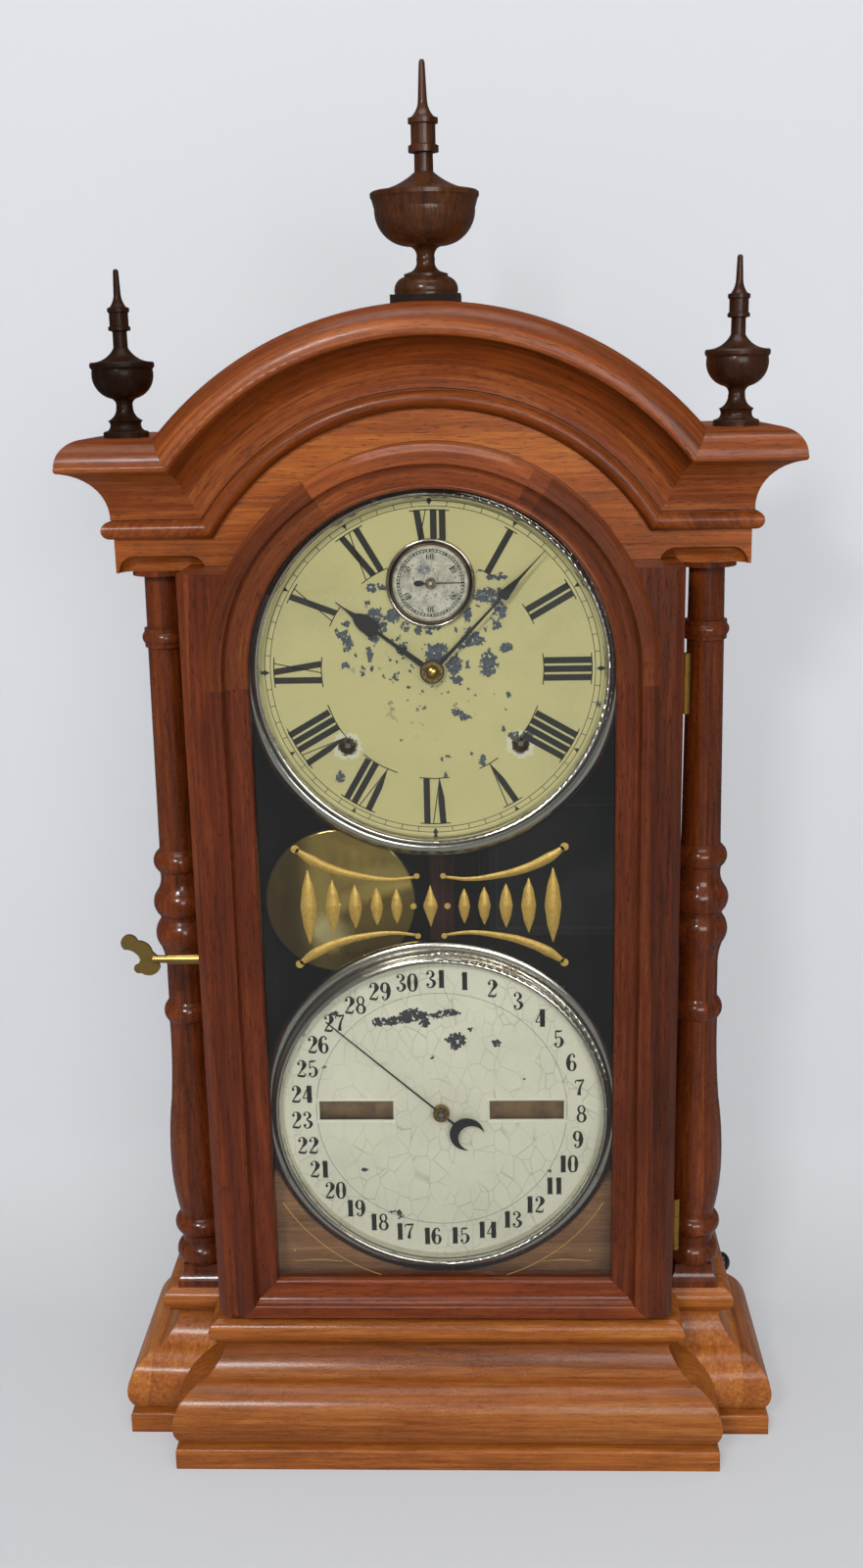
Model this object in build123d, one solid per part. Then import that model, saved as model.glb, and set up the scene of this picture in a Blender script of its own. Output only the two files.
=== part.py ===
from build123d import *
import math
import os

# Double dial calendar clock: a shelf clock in a wooden case with an arched, glazed door.
# Millimetres. X is across the front, +Y goes to the back and +Z is up.
# The origin is on the standing surface, midway across the width and the depth of the base.

# Whole clock
TOTAL_HEIGHT = 813.0
CASE_DEPTH = 141.3
RUNNING_GAP = 0.3

# Base
BREAKFRONT_OVERHANG = 29.1
BASE_STEP = 35.3
BREAKFRONT_DEPTH = 35.5
NOSE_OVERHANG = 1.0
SLAB_HEIGHT = 15.0
MOULDING_HEIGHT = 58.0
TOP_BOARD_HEIGHT = 15.0
BASE_WALL = 45.0
TOP_BOARD_INSET = 20.6

# Box behind the door
DOOR_SETBACK = 15.3
BOX_WIDTH = 276.0
BOX_SIDE_THICKNESS = 11.0
SHOULDER_RISE = 58.4
BOX_ARCH_THICKNESS = 8.5
ARCH_FOOT_DROP = 11.8
BOX_FLOOR_THICKNESS = 7.0
BACK_BOARD_THICKNESS = 8.0

# The arch of the door, the box and the hood all turn about the centre of the time dial
ARCH_CENTRE_Z = 491.8

# Hood
FRIEZE_SETBACK = 41.0
FRIEZE_OVERHANG = 40.7
FRIEZE_DROP = 3.2
FRIEZE_THICKNESS = 12.0
BEAD_RISE = 19.0
FRIEZE_REVEAL = 17.5
BEAD_HEIGHT = 10.5
BEAD_PROJECTION = 6.0
COVE_HEIGHT = 28.5
OVOLO_HEIGHT = 17.0
CORNICE_PROJECTION = 25.1
CORNICE_TOP_PROJECTION = 11.0
ROOF_THICKNESS = 10.0
FRIEZE_COVE_RADIUS = 9.5
SOFFIT_THICKNESS = 8.0

# Columns
COLUMN_OUTSET = 19.0
COLUMN_SETBACK = 62.0
PEDESTAL_WIDTH = 30.0
PEDESTAL_PLINTH = 4.5
PEDESTAL_HEIGHT = 14.5

# Finials
SIDE_FINIAL_INSET = 9.7
SIDE_FINIAL_SETBACK = 47.0
CENTRE_FINIAL_SETBACK = 49.0
SIDE_FINIAL_HEIGHT = 89.5
FINIAL_BLOCK_SIZE = 37.7
FINIAL_BLOCK_RISE = 3.6

# Door
DOOR_OVERHANG = 0.5
STILE_WIDTH = 36.8
DOOR_THICKNESS = 22.0
DOOR_LIFT = 7.8
RAIL_HEIGHT = 21.6
ARCH_BAND_WIDTH = 23.8
ARCH_JOINT_DROP = 5.8
CROWN_SEAM_ANGLE = 57.0
REBATE_DEPTH = 12.0
REBATE_WIDTH = 6.5
GLASS_THICKNESS = 2.0
GLASS_EDGE_CLEARANCE = 0.4
STOP_THICKNESS = 5.0
STOP_CLEARANCE = 0.1
STOP_REVEAL = 0.6

# Hinges
HINGE_LENGTH = 34.0
HINGE_UPPER_DROP = 8.8
HINGE_LOWER_LIFT = 52.2
HINGE_LEAF_THICKNESS = 1.2
HINGE_LEAF_WIDTH = 14.0
HINGE_BARREL_RADIUS = 2.6
HINGE_PIN_RADIUS = 1.3
PIN_CLEARANCE = 0.05

# Door latch and its key
LATCH_DROP = 166.3
LATCH_DEPTH = 12.0
LATCH_ARBOR_RADIUS = 2.0
LATCH_FINGER_LENGTH = 18.0
LATCH_FINGER_WIDTH = 5.0
LATCH_FINGER_THICKNESS = 3.0
LATCH_FINGER_INSET = 4.5
LATCH_SLOT_CLEARANCE = 0.5
LATCH_SWING_CLEARANCE = 1.0
LATCH_INNER_BEARING = 11.0
KEEPER_WIDTH = 7.5
KEEPER_THICKNESS = 3.7
KEEPER_HEIGHT = 12.0
KEEPER_GAP = 0.2
KEY_BARREL_RADIUS = 3.15
KEY_BARREL_LENGTH = 18.5
KEY_SHANK_RADIUS = 2.3
KEY_WING_THICKNESS = 2.0

# Dials and bezels, the same for both
BEZEL_CLEARANCE = 1.3
BEZEL_LAP = 2.4
FLANGE_WIDTH = 8.2
FLANGE_CLEARANCE = 0.8
DIAL_FIT = 0.2
DIAL_THICKNESS = 1.0
BEZEL_DEPTH = 15.5
DIAL_DEPTH = 24.0
CALENDAR_BEZEL_LIFT = 4.8
SECONDS_OFFSET = 49.2
SECONDS_RADIUS = 25.0
SECONDS_BORE = 1.5
SECONDS_HOLE_RADIUS = 3.0
WINDING_OFFSET_X = 49.2
WINDING_OFFSET_Z = 43.0
WINDING_HOLE_RADIUS = 4.8
WINDOW_WIDTH = 44.6
WINDOW_HEIGHT = 12.2
WINDOW_OFFSET = 51.4

# Hands
HOUR_HAND_SHORT = 32.0
HOUR_HAND_ANGLE = 307.0
HOUR_HAND_DEPTH = 19.9
MINUTE_HAND_SHORT = 6.5
MINUTE_HAND_ANGLE = 43.5
MINUTE_HAND_DEPTH = 18.0
SECONDS_HAND_SHORT = 7.0
SECONDS_HAND_DEPTH = 22.3
DATE_HAND_SHORT = 8.0
DATE_HAND_ANGLE = 311.5
DATE_HAND_DEPTH = 19.0
HAND_THICKNESS = 0.8
HOUR_HUB_RADIUS = 6.8
MINUTE_HUB_RADIUS = 5.8
SECONDS_HUB_RADIUS = 3.1
SECONDS_PIVOT_RADIUS = 0.9
DATE_BOSS_RADIUS = 5.0
NUT_RADIUS = 4.4
NUT_RISE = 2.8

# Time movement
FRONT_PLATE_DEPTH = 36.0
BACK_PLATE_DEPTH = 72.0
PLATE_THICKNESS = 1.6
PLATE_HALF_WIDTH = 72.0
PLATE_TOP = 62.0
PLATE_BOTTOM = 68.0
PLATE_CORNER = 16.0
WINDING_ARBOR_RADIUS = 2.4
WINDING_SQUARE = 2.8
SECONDS_ARBOR_RADIUS = 1.2
HAMMER_ARBOR_RADIUS = 1.5
DIAL_FOOT_RADIUS = 2.2
PILLAR_RADIUS = 3.0
CENTRE_ARBOR_RADIUS = 1.6
HOUR_PIPE_RADIUS = 3.2
CENTRE_WHEEL_RADIUS = 26.0
GREAT_WHEEL_RADIUS = 22.0
ESCAPE_WHEEL_RADIUS = 14.0
ESCAPE_TEETH = 30
WHEEL_THICKNESS = 1.6
TOOTH_DEPTH = 1.8
ESCAPE_TOOTH_DEPTH = 1.6
HOUR_WHEEL_RADIUS = 16.0
HOUR_WHEEL_TEETH = 36
CENTRE_WHEEL_TEETH = 60
GREAT_WHEEL_TEETH = 48
MOTION_WORK_GAP = 4.0
GREAT_WHEEL_DEPTH = 42.0
BARREL_BACK_DEPTH = 56.0
BARREL_INSET = 4.0
CENTRE_WHEEL_DEPTH = 58.0
ESCAPE_WHEEL_DEPTH = 64.0

# Pendulum
BOB_SIDE_GAP = 17.9
PENDULUM_DEPTH = 84.0
PENDULUM_LENGTH = 241.0
BOB_RADIUS = 46.7
BOB_THICKNESS = 12.0
ROD_RADIUS = 1.3
RATING_NUT_RADIUS = 3.6
RATING_NUT_HEIGHT = 5.0
SPRING_LENGTH = 22.0
SPRING_WIDTH = 4.0
SPRING_THICKNESS = 0.3
SPRING_CLEARANCE = 0.6
PIVOT_PIN_RADIUS = 0.8
COCK_WIDTH = 10.0
COCK_HEIGHT = 7.0
COCK_REACH = 5.0
COCK_FOOT_MARGIN = 2.0
COCK_CLEARANCE = 4.376

# Strike
GONG_X = 20.0
GONG_LIFT = 158.0
GONG_DEPTH = 98.0
GONG_INNER_RADIUS = 14.0
GONG_PITCH = 8.0
GONG_TURNS = 4
GONG_WIRE_RADIUS = 1.6
HAMMER_X = 24.0
HAMMER_PIVOT_DROP = 55.8
HAMMER_LENGTH = 138.0
HAMMER_HEAD_LENGTH = 18.0
HAMMER_HEAD_RADIUS = 5.0
HAMMER_ARM_RADIUS = 1.3
HAMMER_HUB_RADIUS = 4.0
HAMMER_STANDOFF = 9.0

# Calendar works
CALENDAR_BOARD_HEIGHT = 86.0
CALENDAR_BOARD_DEPTH = 27.0
CALENDAR_BOARD_THICKNESS = 9.0
ROLLER_LENGTH = 46.0
DAY_ROLLER_RADIUS = 12.4
MONTH_ROLLER_RADIUS = 21.2
ROLLER_CLEARANCE = 0.8
ROLLER_ARBOR_RADIUS = 1.5
ROLLER_CHEEK = 3.0
DATE_ARBOR_RADIUS = 2.0
DATE_WHEEL_RADIUS = 21.0
DATE_TEETH = 31
DATE_WHEEL_DEPTH = 44.0
FRAME_PLATE_DEPTH = 70.0
FRAME_HALF_WIDTH = 84.0
FRAME_FOOT_WIDTH = 10.0
FRAME_FOOT_INSET = 15.0
FRAME_FOOT_LIFT = 10.0
FRAME_TOP_RISE = 20.0
FRAME_HEIGHT = 104.6
FRAME_PLATE_THICKNESS = 2.0

# Side knob
KNOB_DROP = 3.0
KNOB_DEPTH = 107.0
KNOB_RADIUS = 6.6
KNOB_LENGTH = 6.6
KNOB_STEM_RADIUS = 2.0
KNOB_STEM_LENGTH = 20.0

# Card and strip on the back board
CARD_WIDTH = 88.0
CARD_HEIGHT = 92.0
CARD_THICKNESS = 0.5
CARD_SIDE_GAP = 9.0
CARD_DROP = 99.8
BATTEN_WIDTH = 16.0
BATTEN_LENGTH = 140.0
BATTEN_THICKNESS = 6.0
BATTEN_DROP = 61.8

# Worked out from the sizes above
front_y = -CASE_DEPTH / 2
back_y = CASE_DEPTH / 2
slab_front_y = front_y + NOSE_OVERHANG
plinth_front_y = slab_front_y + BREAKFRONT_DEPTH
box_half = BOX_WIDTH / 2
breakfront_half = box_half + BREAKFRONT_OVERHANG
base_half = breakfront_half + BASE_STEP
moulding_top_z = SLAB_HEIGHT + MOULDING_HEIGHT
base_top_z = moulding_top_z + TOP_BOARD_HEIGHT
door_y = front_y + DOOR_SETBACK
frieze_y = door_y + FRIEZE_SETBACK
box_front_y = door_y + DOOR_THICKNESS + RUNNING_GAP
back_board_y = back_y - BACK_BOARD_THICKNESS
box_inner_half = box_half - BOX_SIDE_THICKNESS
door_half = box_half + DOOR_OVERHANG
door_bottom_z = base_top_z + DOOR_LIFT
sight_radius = door_half - STILE_WIDTH
sight_bottom_z = door_bottom_z + RAIL_HEIGHT
bezel_radius = sight_radius - BEZEL_CLEARANCE
dial_radius = bezel_radius - BEZEL_LAP
calendar_z = sight_bottom_z + CALENDAR_BEZEL_LIFT + bezel_radius
band_radius = sight_radius + ARCH_BAND_WIDTH
shoulder_z = ARCH_CENTRE_Z + SHOULDER_RISE
frieze_half = box_half + FRIEZE_OVERHANG
frieze_bottom_z = shoulder_z - FRIEZE_DROP
bead_bottom_z = frieze_bottom_z + BEAD_RISE
bead_radius = band_radius + FRIEZE_REVEAL
cornice_bottom_z = bead_bottom_z + BEAD_HEIGHT
cornice_top_z = cornice_bottom_z + COVE_HEIGHT + OVOLO_HEIGHT
arch_top_radius = bead_radius + cornice_top_z - bead_bottom_z
crown_z = ARCH_CENTRE_Z + arch_top_radius
roof_underside_z = cornice_top_z - ROOF_THICKNESS
roof_inner_radius = arch_top_radius - ROOF_THICKNESS
box_arch_radius = band_radius - BOX_ARCH_THICKNESS
column_x = box_half + COLUMN_OUTSET
column_y = door_y + COLUMN_SETBACK
pedestal_top_z = base_top_z + PEDESTAL_HEIGHT
arch_foot_z = ARCH_CENTRE_Z - ARCH_FOOT_DROP
arch_joint_z = ARCH_CENTRE_Z - ARCH_JOINT_DROP
hinge_heights = (ARCH_CENTRE_Z - HINGE_UPPER_DROP, door_bottom_z + HINGE_LOWER_LIFT)
floor_top_z = base_top_z + BOX_FLOOR_THICKNESS
latch_z = ARCH_CENTRE_Z - LATCH_DROP
pendulum_x = BOB_SIDE_GAP + BOB_RADIUS - box_inner_half
cock_corner_x = COCK_WIDTH / 2 + COCK_FOOT_MARGIN - pendulum_x
cock_corner_rise = math.sqrt((box_arch_radius - COCK_CLEARANCE) ** 2 - cock_corner_x ** 2)
pivot_z = ARCH_CENTRE_Z + cock_corner_rise - COCK_HEIGHT / 2
bob_z = pivot_z - PENDULUM_LENGTH
gong_z = base_top_z + GONG_LIFT
hammer_pivot_z = ARCH_CENTRE_Z - HAMMER_PIVOT_DROP
knob_z = moulding_top_z - KNOB_DROP
FAR = 2 * TOTAL_HEIGHT

PARTS = {}


def behind(depth):
    """Y of a plane that lies this far behind the front of the door."""
    return door_y + depth


def trace(profile, place):
    """Edges of an open profile: (u, v) goes straight there, (mu, mv, u, v) goes by an arc."""
    edges = []
    last = profile[0]
    for step in profile[1:]:
        end = step[-2:]
        if len(step) == 4:
            edges.append(ThreePointArc(place(*last), place(*step[:2]), place(*end)))
        elif math.dist(last, end) > 1e-6:
            edges.append(Line(place(*last), place(*end)))
        last = end
    return edges


def outline(profile, place):
    """Face inside a profile, closed by a straight line from its last point to its first."""
    return Face(Wire(trace(profile + [profile[0][-2:]], place)))


def prism(profile, place, direction, length):
    """Solid swept straight from a closed profile."""
    return extrude(outline(profile, place), amount=length, dir=direction)


def prism_x(profile_yz, x_low, x_high):
    return prism(profile_yz, lambda u, v: (x_low, u, v), (1, 0, 0), x_high - x_low)


def prism_y(profile_xz, y_low, y_high):
    return prism(profile_xz, lambda u, v: (u, y_low, v), (0, 1, 0), y_high - y_low)


def prism_z(profile_xy, z_low, z_high):
    return prism(profile_xy, lambda u, v: (u, v, z_low), (0, 0, 1), z_high - z_low)


def block(x_low, x_high, y_low, y_high, z_low, z_high):
    """Plain board between two corners."""
    size = (x_high - x_low, y_high - y_low, z_high - z_low)
    middle = ((x_low + x_high) / 2, (y_low + y_high) / 2, (z_low + z_high) / 2)
    return Pos(*middle) * Box(*size)


def turned(profile, x, y, z):
    """Turned piece on an upright axis: the profile is (radius, height) from axis to axis."""
    face = outline(profile, lambda r, h: (r, 0, h))
    return Pos(x, y, z) * revolve(face, axis=Axis.Z)


def spun(profile, x, z):
    """Turned piece on an axis from front to back: the profile is (radius, y)."""
    face = outline(profile, lambda r, y: (x + r, y, z))
    return revolve(face, axis=Axis((x, 0, z), (0, 1, 0)))


def rod_x(radius, x_low, x_high, y, z):
    return Pos((x_low + x_high) / 2, y, z) * Rot(0, 90, 0) * Cylinder(radius, x_high - x_low)


def rod_y(radius, x, y_low, y_high, z):
    return Pos(x, (y_low + y_high) / 2, z) * Rot(90, 0, 0) * Cylinder(radius, y_high - y_low)


def rod_z(radius, x, y, z_low, z_high):
    return Pos(x, y, (z_low + z_high) / 2) * Cylinder(radius, z_high - z_low)


def mirrored(piece):
    """The same piece on the other side of the clock."""
    return mirror(piece, about=Plane.YZ)


def keep(name, *pieces):
    """Store a node under its name; several solids in one node stay separate."""
    solids = [solid for piece in pieces for solid in piece.solids()]
    PARTS[name] = solids[0] if len(solids) == 1 else Compound(children=solids)


def wrapped_block(profile, half_width, y_front, y_back):
    """Block whose front and two sides carry one profile of (inset, z), mitred at the corners."""
    low = profile[0][1]
    high = profile[-1][-1]
    half = [(0, low)] + shifted(profile, lambda inset, z: (half_width - inset, z)) + [(0, high)]
    right = prism_y(half, y_front - FAR / 10, y_back)
    both = right + mirrored(right)
    side = [(y_back, low)] + shifted(profile, lambda inset, z: (y_front + inset, z)) + [(y_back, high)]
    return both & prism_x(side, -half_width - FAR / 10, half_width + FAR / 10)


def shifted(profile, move):
    """The same profile with each of its points moved."""
    steps = []
    for step in profile:
        points = [move(*step[i:i + 2]) for i in range(0, len(step), 2)]
        steps.append(tuple(value for point in points for value in point))
    return steps


def box_outline(grow):
    """Outline of the box and the door: square shoulders with the arch rising above them."""
    radius = band_radius + grow
    half = box_half + grow
    top = shoulder_z + grow
    spring_x = math.sqrt(radius ** 2 - (top - ARCH_CENTRE_Z) ** 2)
    return half, top, spring_x, ARCH_CENTRE_Z + radius


def arched_board(grow, z_low, y_low, y_high):
    """Board with the outline of the box, grown by a clearance."""
    half, top, spring_x, peak = box_outline(grow)
    profile = [(-half, z_low), (half, z_low), (half, top), (spring_x, top),
               (0, peak, -spring_x, top), (-half, top)]
    return prism_y(profile, y_low, y_high)


def round_top(radius, z_low, y_low, y_high):
    """Board with straight sides and a half-round top about the centre of the arch."""
    profile = [(-radius, z_low), (radius, z_low), (radius, ARCH_CENTRE_Z),
               (0, ARCH_CENTRE_Z + radius, -radius, ARCH_CENTRE_Z)]
    return prism_y(profile, y_low, y_high)


# Base

def slab_profile():
    """Inset and height of the slab's edge, with an eased corner and a nearly flat top."""
    top = SLAB_HEIGHT
    return [(0, 0), (0, top - 3), (0.4, top - 2.2, 1.4, top - 1.6), (6.8, top)]


def moulding_profile():
    """Inset and height of the big moulding: a swelling nose, a fillet and a cove under the top board."""
    low = SLAB_HEIGHT
    high = moulding_top_z
    return [
        (4.5, low),
        (0.4, low + 6.5, -NOSE_OVERHANG, low + 14),
        (4.45, low + 28.8, 18, high - 21.5),
        (19.6, high - 20.8),
        (25.4, high - 14, 29, high - 6.3),
        (28, high - 2.6, 24, high),
    ]


def top_board_profile():
    """Inset and height of the top board's rounded edge."""
    low = moulding_top_z
    return [(25.2, low), (25.2, low + 0.8), (TOP_BOARD_INSET, low + 7.5, 24.6, low + 14.2), (26, base_top_z)]


def stepped_base(profile):
    """The wide rear block and the narrower block standing in front of it, in one board."""
    rear = wrapped_block(profile, base_half, plinth_front_y, back_y)
    front = wrapped_block(profile, breakfront_half, slab_front_y, back_y)
    return rear + front


def make_base():
    keep("base_slab", stepped_base(slab_profile()))
    profile = moulding_profile()
    inner_half = breakfront_half - BASE_WALL
    front = wrapped_block(profile, breakfront_half, slab_front_y, plinth_front_y + BASE_WALL)
    room = block(-inner_half, inner_half, slab_front_y + BASE_WALL, back_y, 0, base_top_z)
    keep("base_moulding_front", front - room)
    sides = wrapped_block(profile, base_half, plinth_front_y, back_y)
    through = wrapped_block(profile, breakfront_half, slab_front_y - FAR / 10, back_y + 1)
    rear_half = base_half - BASE_WALL
    hollow = block(-rear_half, rear_half, plinth_front_y + BASE_WALL, back_y, 0, base_top_z)
    keep("base_moulding_sides", sides - through - hollow - knob_bore())
    board = stepped_base(top_board_profile())
    notch = block(-box_half, box_half, back_board_y, back_y + 1, 0, TOTAL_HEIGHT)
    keep("base_top_board", board - notch)


def knob_bore():
    """Hole in the right side of the base for the knob's stem."""
    return rod_x(KNOB_STEM_RADIUS + PIN_CLEARANCE, base_half - 60, base_half, behind(KNOB_DEPTH), knob_z)


def make_pedestals():
    """Stand of each column, coved below the column and running back along the base as a rail."""
    half = PEDESTAL_WIDTH / 2
    low = base_top_z
    high = pedestal_top_z
    step = 2.5
    inset = [(0, low), (0, low + PEDESTAL_PLINTH), (step * 0.9, low + PEDESTAL_PLINTH + 3.2, step + 1, high)]
    stand = wrapped_block(inset, half, column_y - half, back_y)
    stand = Pos(column_x, 0, 0) * stand
    keep("column_pedestals", stand, mirrored(stand))


# Columns

def column_profile():
    """Radius and height of the turned column, from the pedestal to the soffit."""
    height = frieze_bottom_z - pedestal_top_z
    return [
        (0, 0), (14, 0), (16.8, 6.4, 14, 13),
        (12.8, 14.2), (12.8, 19),
        (13.8, 20), (17, 26.2, 13.4, 32.4),
        (13.2, 33.5),
        (15.4, 45, 17.1, 62),
        (17.1, 82, 14.4, 112),
        (12.9, 134, 12.4, 163.5),
        (12.6, 165.4),
        (15.2, 171.6, 12.6, 177.6),
        (12, 178.8), (11.9, 197),
        (12.2, 206, 14.4, 214.6),
        (17, 223, 14.4, 230.4),
        (13.4, 232.2),
        (14, 234.4),
        (17.2, 242, 14.6, 249.6),
        (12.6, 254, 12.3, 261),
        (12.8, 262.4),
        (15.8, 269, 12.6, 275),
        (11.8, 276.4),
        (10.7, height - 45.6),
        (12.2, height - 45), (12.2, height - 42.8),
        (13.6, height - 39.6, 12.2, height - 36.4),
        (12.2, height - 34.2), (10.5, height - 33.6),
        (10.2, height - 3), (16.6, height - 3), (16.6, height), (0, height),
    ]


def make_columns():
    column = turned(column_profile(), column_x, column_y, pedestal_top_z)
    keep("column_right", column)
    keep("column_left", mirrored(column))


# Box behind the door

def make_box():
    side = block(box_half - BOX_SIDE_THICKNESS, box_half, box_front_y, back_board_y, base_top_z, arch_foot_z)
    keep("case_side_right", side)
    keep("case_side_left", mirrored(side))
    arch = arched_board(0, arch_foot_z, box_front_y, back_board_y)
    keep("case_arch", arch - round_top(box_arch_radius, 0, front_y, back_y))
    keep("case_floor", block(-box_inner_half, box_inner_half, box_front_y, back_board_y, base_top_z,
                             floor_top_z))


def make_back_board():
    """One wide board that closes the back of the base, the box and the hood."""
    low_half = base_half - BASE_WALL
    foot = block(-low_half, low_half, back_board_y, back_y, SLAB_HEIGHT, moulding_top_z)
    middle = block(-box_half, box_half, back_board_y, back_y, SLAB_HEIGHT, frieze_bottom_z + 1)
    wings = block(-frieze_half, frieze_half, back_board_y, back_y, frieze_bottom_z, roof_underside_z)
    head = round_top(roof_inner_radius, ARCH_CENTRE_Z, back_board_y, back_y)
    head = head & block(-frieze_half, frieze_half, back_board_y, back_y, frieze_bottom_z, FAR)
    keep("back_board", foot + middle + wings + head)


# Hood

def mitre_region(y_low, y_high):
    """Inside of the curved mitre, where the arch's mouldings give way to the level ones.

    A moulding of the arch and a level one with the same profile meet where the height above the
    level bead equals the height above the arch's bead, which is a parabola.
    """
    focus_drop = (bead_radius - bead_bottom_z + ARCH_CENTRE_Z)
    vertex_z = (bead_bottom_z - bead_radius + ARCH_CENTRE_Z) / 2
    half = frieze_half + 60
    edge_z = half ** 2 / (2 * focus_drop) + vertex_z
    points = [(-half, y_low, edge_z), (0, y_low, 2 * vertex_z - edge_z), (half, y_low, edge_z)]
    curve = Bezier(*points)
    lid = Line(points[2], points[0])
    return extrude(Face(Wire([curve, lid])), amount=y_high - y_low, dir=(0, 1, 0))


def cornice_profile():
    """Projection and height above the bead of the crown moulding: a deep cove under an ovolo."""
    tip = CORNICE_PROJECTION
    cove_top = COVE_HEIGHT
    top = COVE_HEIGHT + OVOLO_HEIGHT
    return [
        (0, 0), (1.2, 0.4),
        (7.4, 18.6, tip - 3.4, cove_top - 1.2),
        (tip - 0.8, cove_top - 0.6),
        (tip + 0.0, cove_top + 0.6, tip - 0.2, cove_top + 2.4),
        (tip - 3.6, cove_top + 11.6, CORNICE_TOP_PROJECTION, top),
        (0, top),
    ]


def bead_profile():
    """Projection and height of the half-round bead under the crown moulding."""
    small = 0.8
    return [(0, 0), (2.6, 0.3), (BEAD_PROJECTION, BEAD_HEIGHT / 2, 3.2, BEAD_HEIGHT - small),
            (1.0, BEAD_HEIGHT - small), (1.0, BEAD_HEIGHT), (0, BEAD_HEIGHT)]


def arch_strip(profile, radius):
    """Moulding bent round the arch, with its ends cut on the curved mitre."""
    ring = spun(shifted(profile, lambda q, h: (radius + h, frieze_y - q)), 0, ARCH_CENTRE_Z)
    return ring & mitre_region(front_y - 20, back_y)


def level_strip(profile, z):
    """Level moulding round the left corner of the hood: a front length mitred to a side length."""
    outer = shifted(profile, lambda q, h: (-q, z + h))
    closed = wrapped_block(outer[:-1], frieze_half, frieze_y, back_y)
    left = closed & block(-FAR, 0, -FAR, FAR, 0, FAR)
    inner = block(-frieze_half, frieze_half, frieze_y, back_y + 1, 0, FAR)
    return left - inner - mitre_region(front_y - 20, back_y + 2)


def make_cornice():
    keep("arch_moulding", arch_strip(cornice_profile(), bead_radius + BEAD_HEIGHT))
    ear = level_strip(cornice_profile(), cornice_bottom_z)
    keep("ear_mouldings", ear, mirrored(ear))
    bead = level_strip(bead_profile(), bead_bottom_z)
    keep("bead_mouldings", arch_strip(bead_profile(), bead_radius), bead, mirrored(bead))


def make_roof():
    """The bent roof over the arch and a flat board over each ear, joined on the curved mitre."""
    ring = spun([(roof_inner_radius, frieze_y), (arch_top_radius, frieze_y), (arch_top_radius, back_y),
                 (roof_inner_radius, back_y)], 0, ARCH_CENTRE_Z)
    region = mitre_region(front_y - 20, back_y + 2)
    ear = block(-frieze_half, 0, frieze_y, back_y, roof_underside_z, cornice_top_z) - region
    keep("roof_boards", ring & region, ear, mirrored(ear))


def frieze_cove(x_low, x_high):
    """Scooped lower edge of the frieze, with a rounded stop at each end."""
    z = frieze_bottom_z
    scoop = rod_x(FRIEZE_COVE_RADIUS, x_low, x_high, frieze_y, z)
    for x in (x_low, x_high):
        scoop += Pos(x, frieze_y, z) * Sphere(FRIEZE_COVE_RADIUS)
    return scoop


def make_frieze():
    """Front board of the hood, cut out for the box and scooped along its lower edge."""
    back = frieze_y + FRIEZE_THICKNESS
    ears = block(-frieze_half, frieze_half, frieze_y, back, frieze_bottom_z, roof_underside_z)
    head = round_top(roof_inner_radius, ARCH_CENTRE_Z, frieze_y, back)
    head = head & block(-frieze_half, frieze_half, frieze_y, back, frieze_bottom_z, FAR)
    opening = arched_board(0.15, 0, frieze_y - 1, back + 1)
    outer_stop = frieze_half - 1.5 - FRIEZE_COVE_RADIUS
    inner_stop = band_radius + 2 + FRIEZE_COVE_RADIUS
    cove = frieze_cove(inner_stop, outer_stop)
    keep("frieze_board", ears + head - opening - cove - mirrored(cove))
    side_low = frieze_half - FRIEZE_THICKNESS
    side = block(side_low, frieze_half, back, back_board_y, frieze_bottom_z, roof_underside_z)
    side = side - rod_y(FRIEZE_COVE_RADIUS, frieze_half, frieze_y, back + FRIEZE_THICKNESS, frieze_bottom_z)
    soffit_top = frieze_bottom_z + SOFFIT_THICKNESS
    soffit = block(box_half, side_low, back, back_board_y, frieze_bottom_z, soffit_top)
    keep("hood_boards", side, mirrored(side), soffit, mirrored(soffit))


# Finials

def centre_finial_profile(height):
    """Urn with a tall spire, from its domed foot to its tip."""
    return [
        (0, 0), (17.2, 0), (17.2, 1.2),
        (14.2, 8.6, 11.9, 9.6),
        (11.9, 11), (9.4, 11.8),
        (5.4, 15, 5.1, 18.6),
        (5.4, 22.6, 10.2, 25.4),
        (22.6, 31.6, 27.2, 44.4),
        (28.6, 49.4), (29.3, 50.4), (29.3, 52.4), (28.2, 53.2),
        (13.4, 57.4, 5.1, 63),
        (5.0, 72.2),
        (8.15, 72.8), (8.15, 76), (6.6, 76.8),
        (6.6, 86.6), (8, 87.2), (8, 89.8), (6.2, 90.4),
        (3.4, 94.4, 2.5, 98.2),
        (1.6, height - 1.4), (1.0, height), (0, height),
    ]


def side_finial_profile(height):
    """Smaller urn with a spire."""
    return [
        (0, 0), (12.6, 0), (12.6, 2.6), (11.8, 3.4),
        (8.6, 7.6, 9.6, 9.2),
        (6.2, 11.6, 4.65, 16.4),
        (4.8, 19, 7.4, 21.2),
        (14.6, 26.4, 16.6, 36.6),
        (17.7, 38), (17.7, 39.8), (17.0, 40.6),
        (8.4, 43.2, 4.0, 48.2),
        (3.9, 56.8),
        (6.05, 57.4), (6.05, 59.2), (5.2, 59.8),
        (5.2, 66.6), (6, 67.2), (6, 69.2), (4.4, 69.8),
        (2.6, 73.2, 2.0, 76),
        (1.5, height - 1), (0.9, height), (0, height),
    ]


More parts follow.
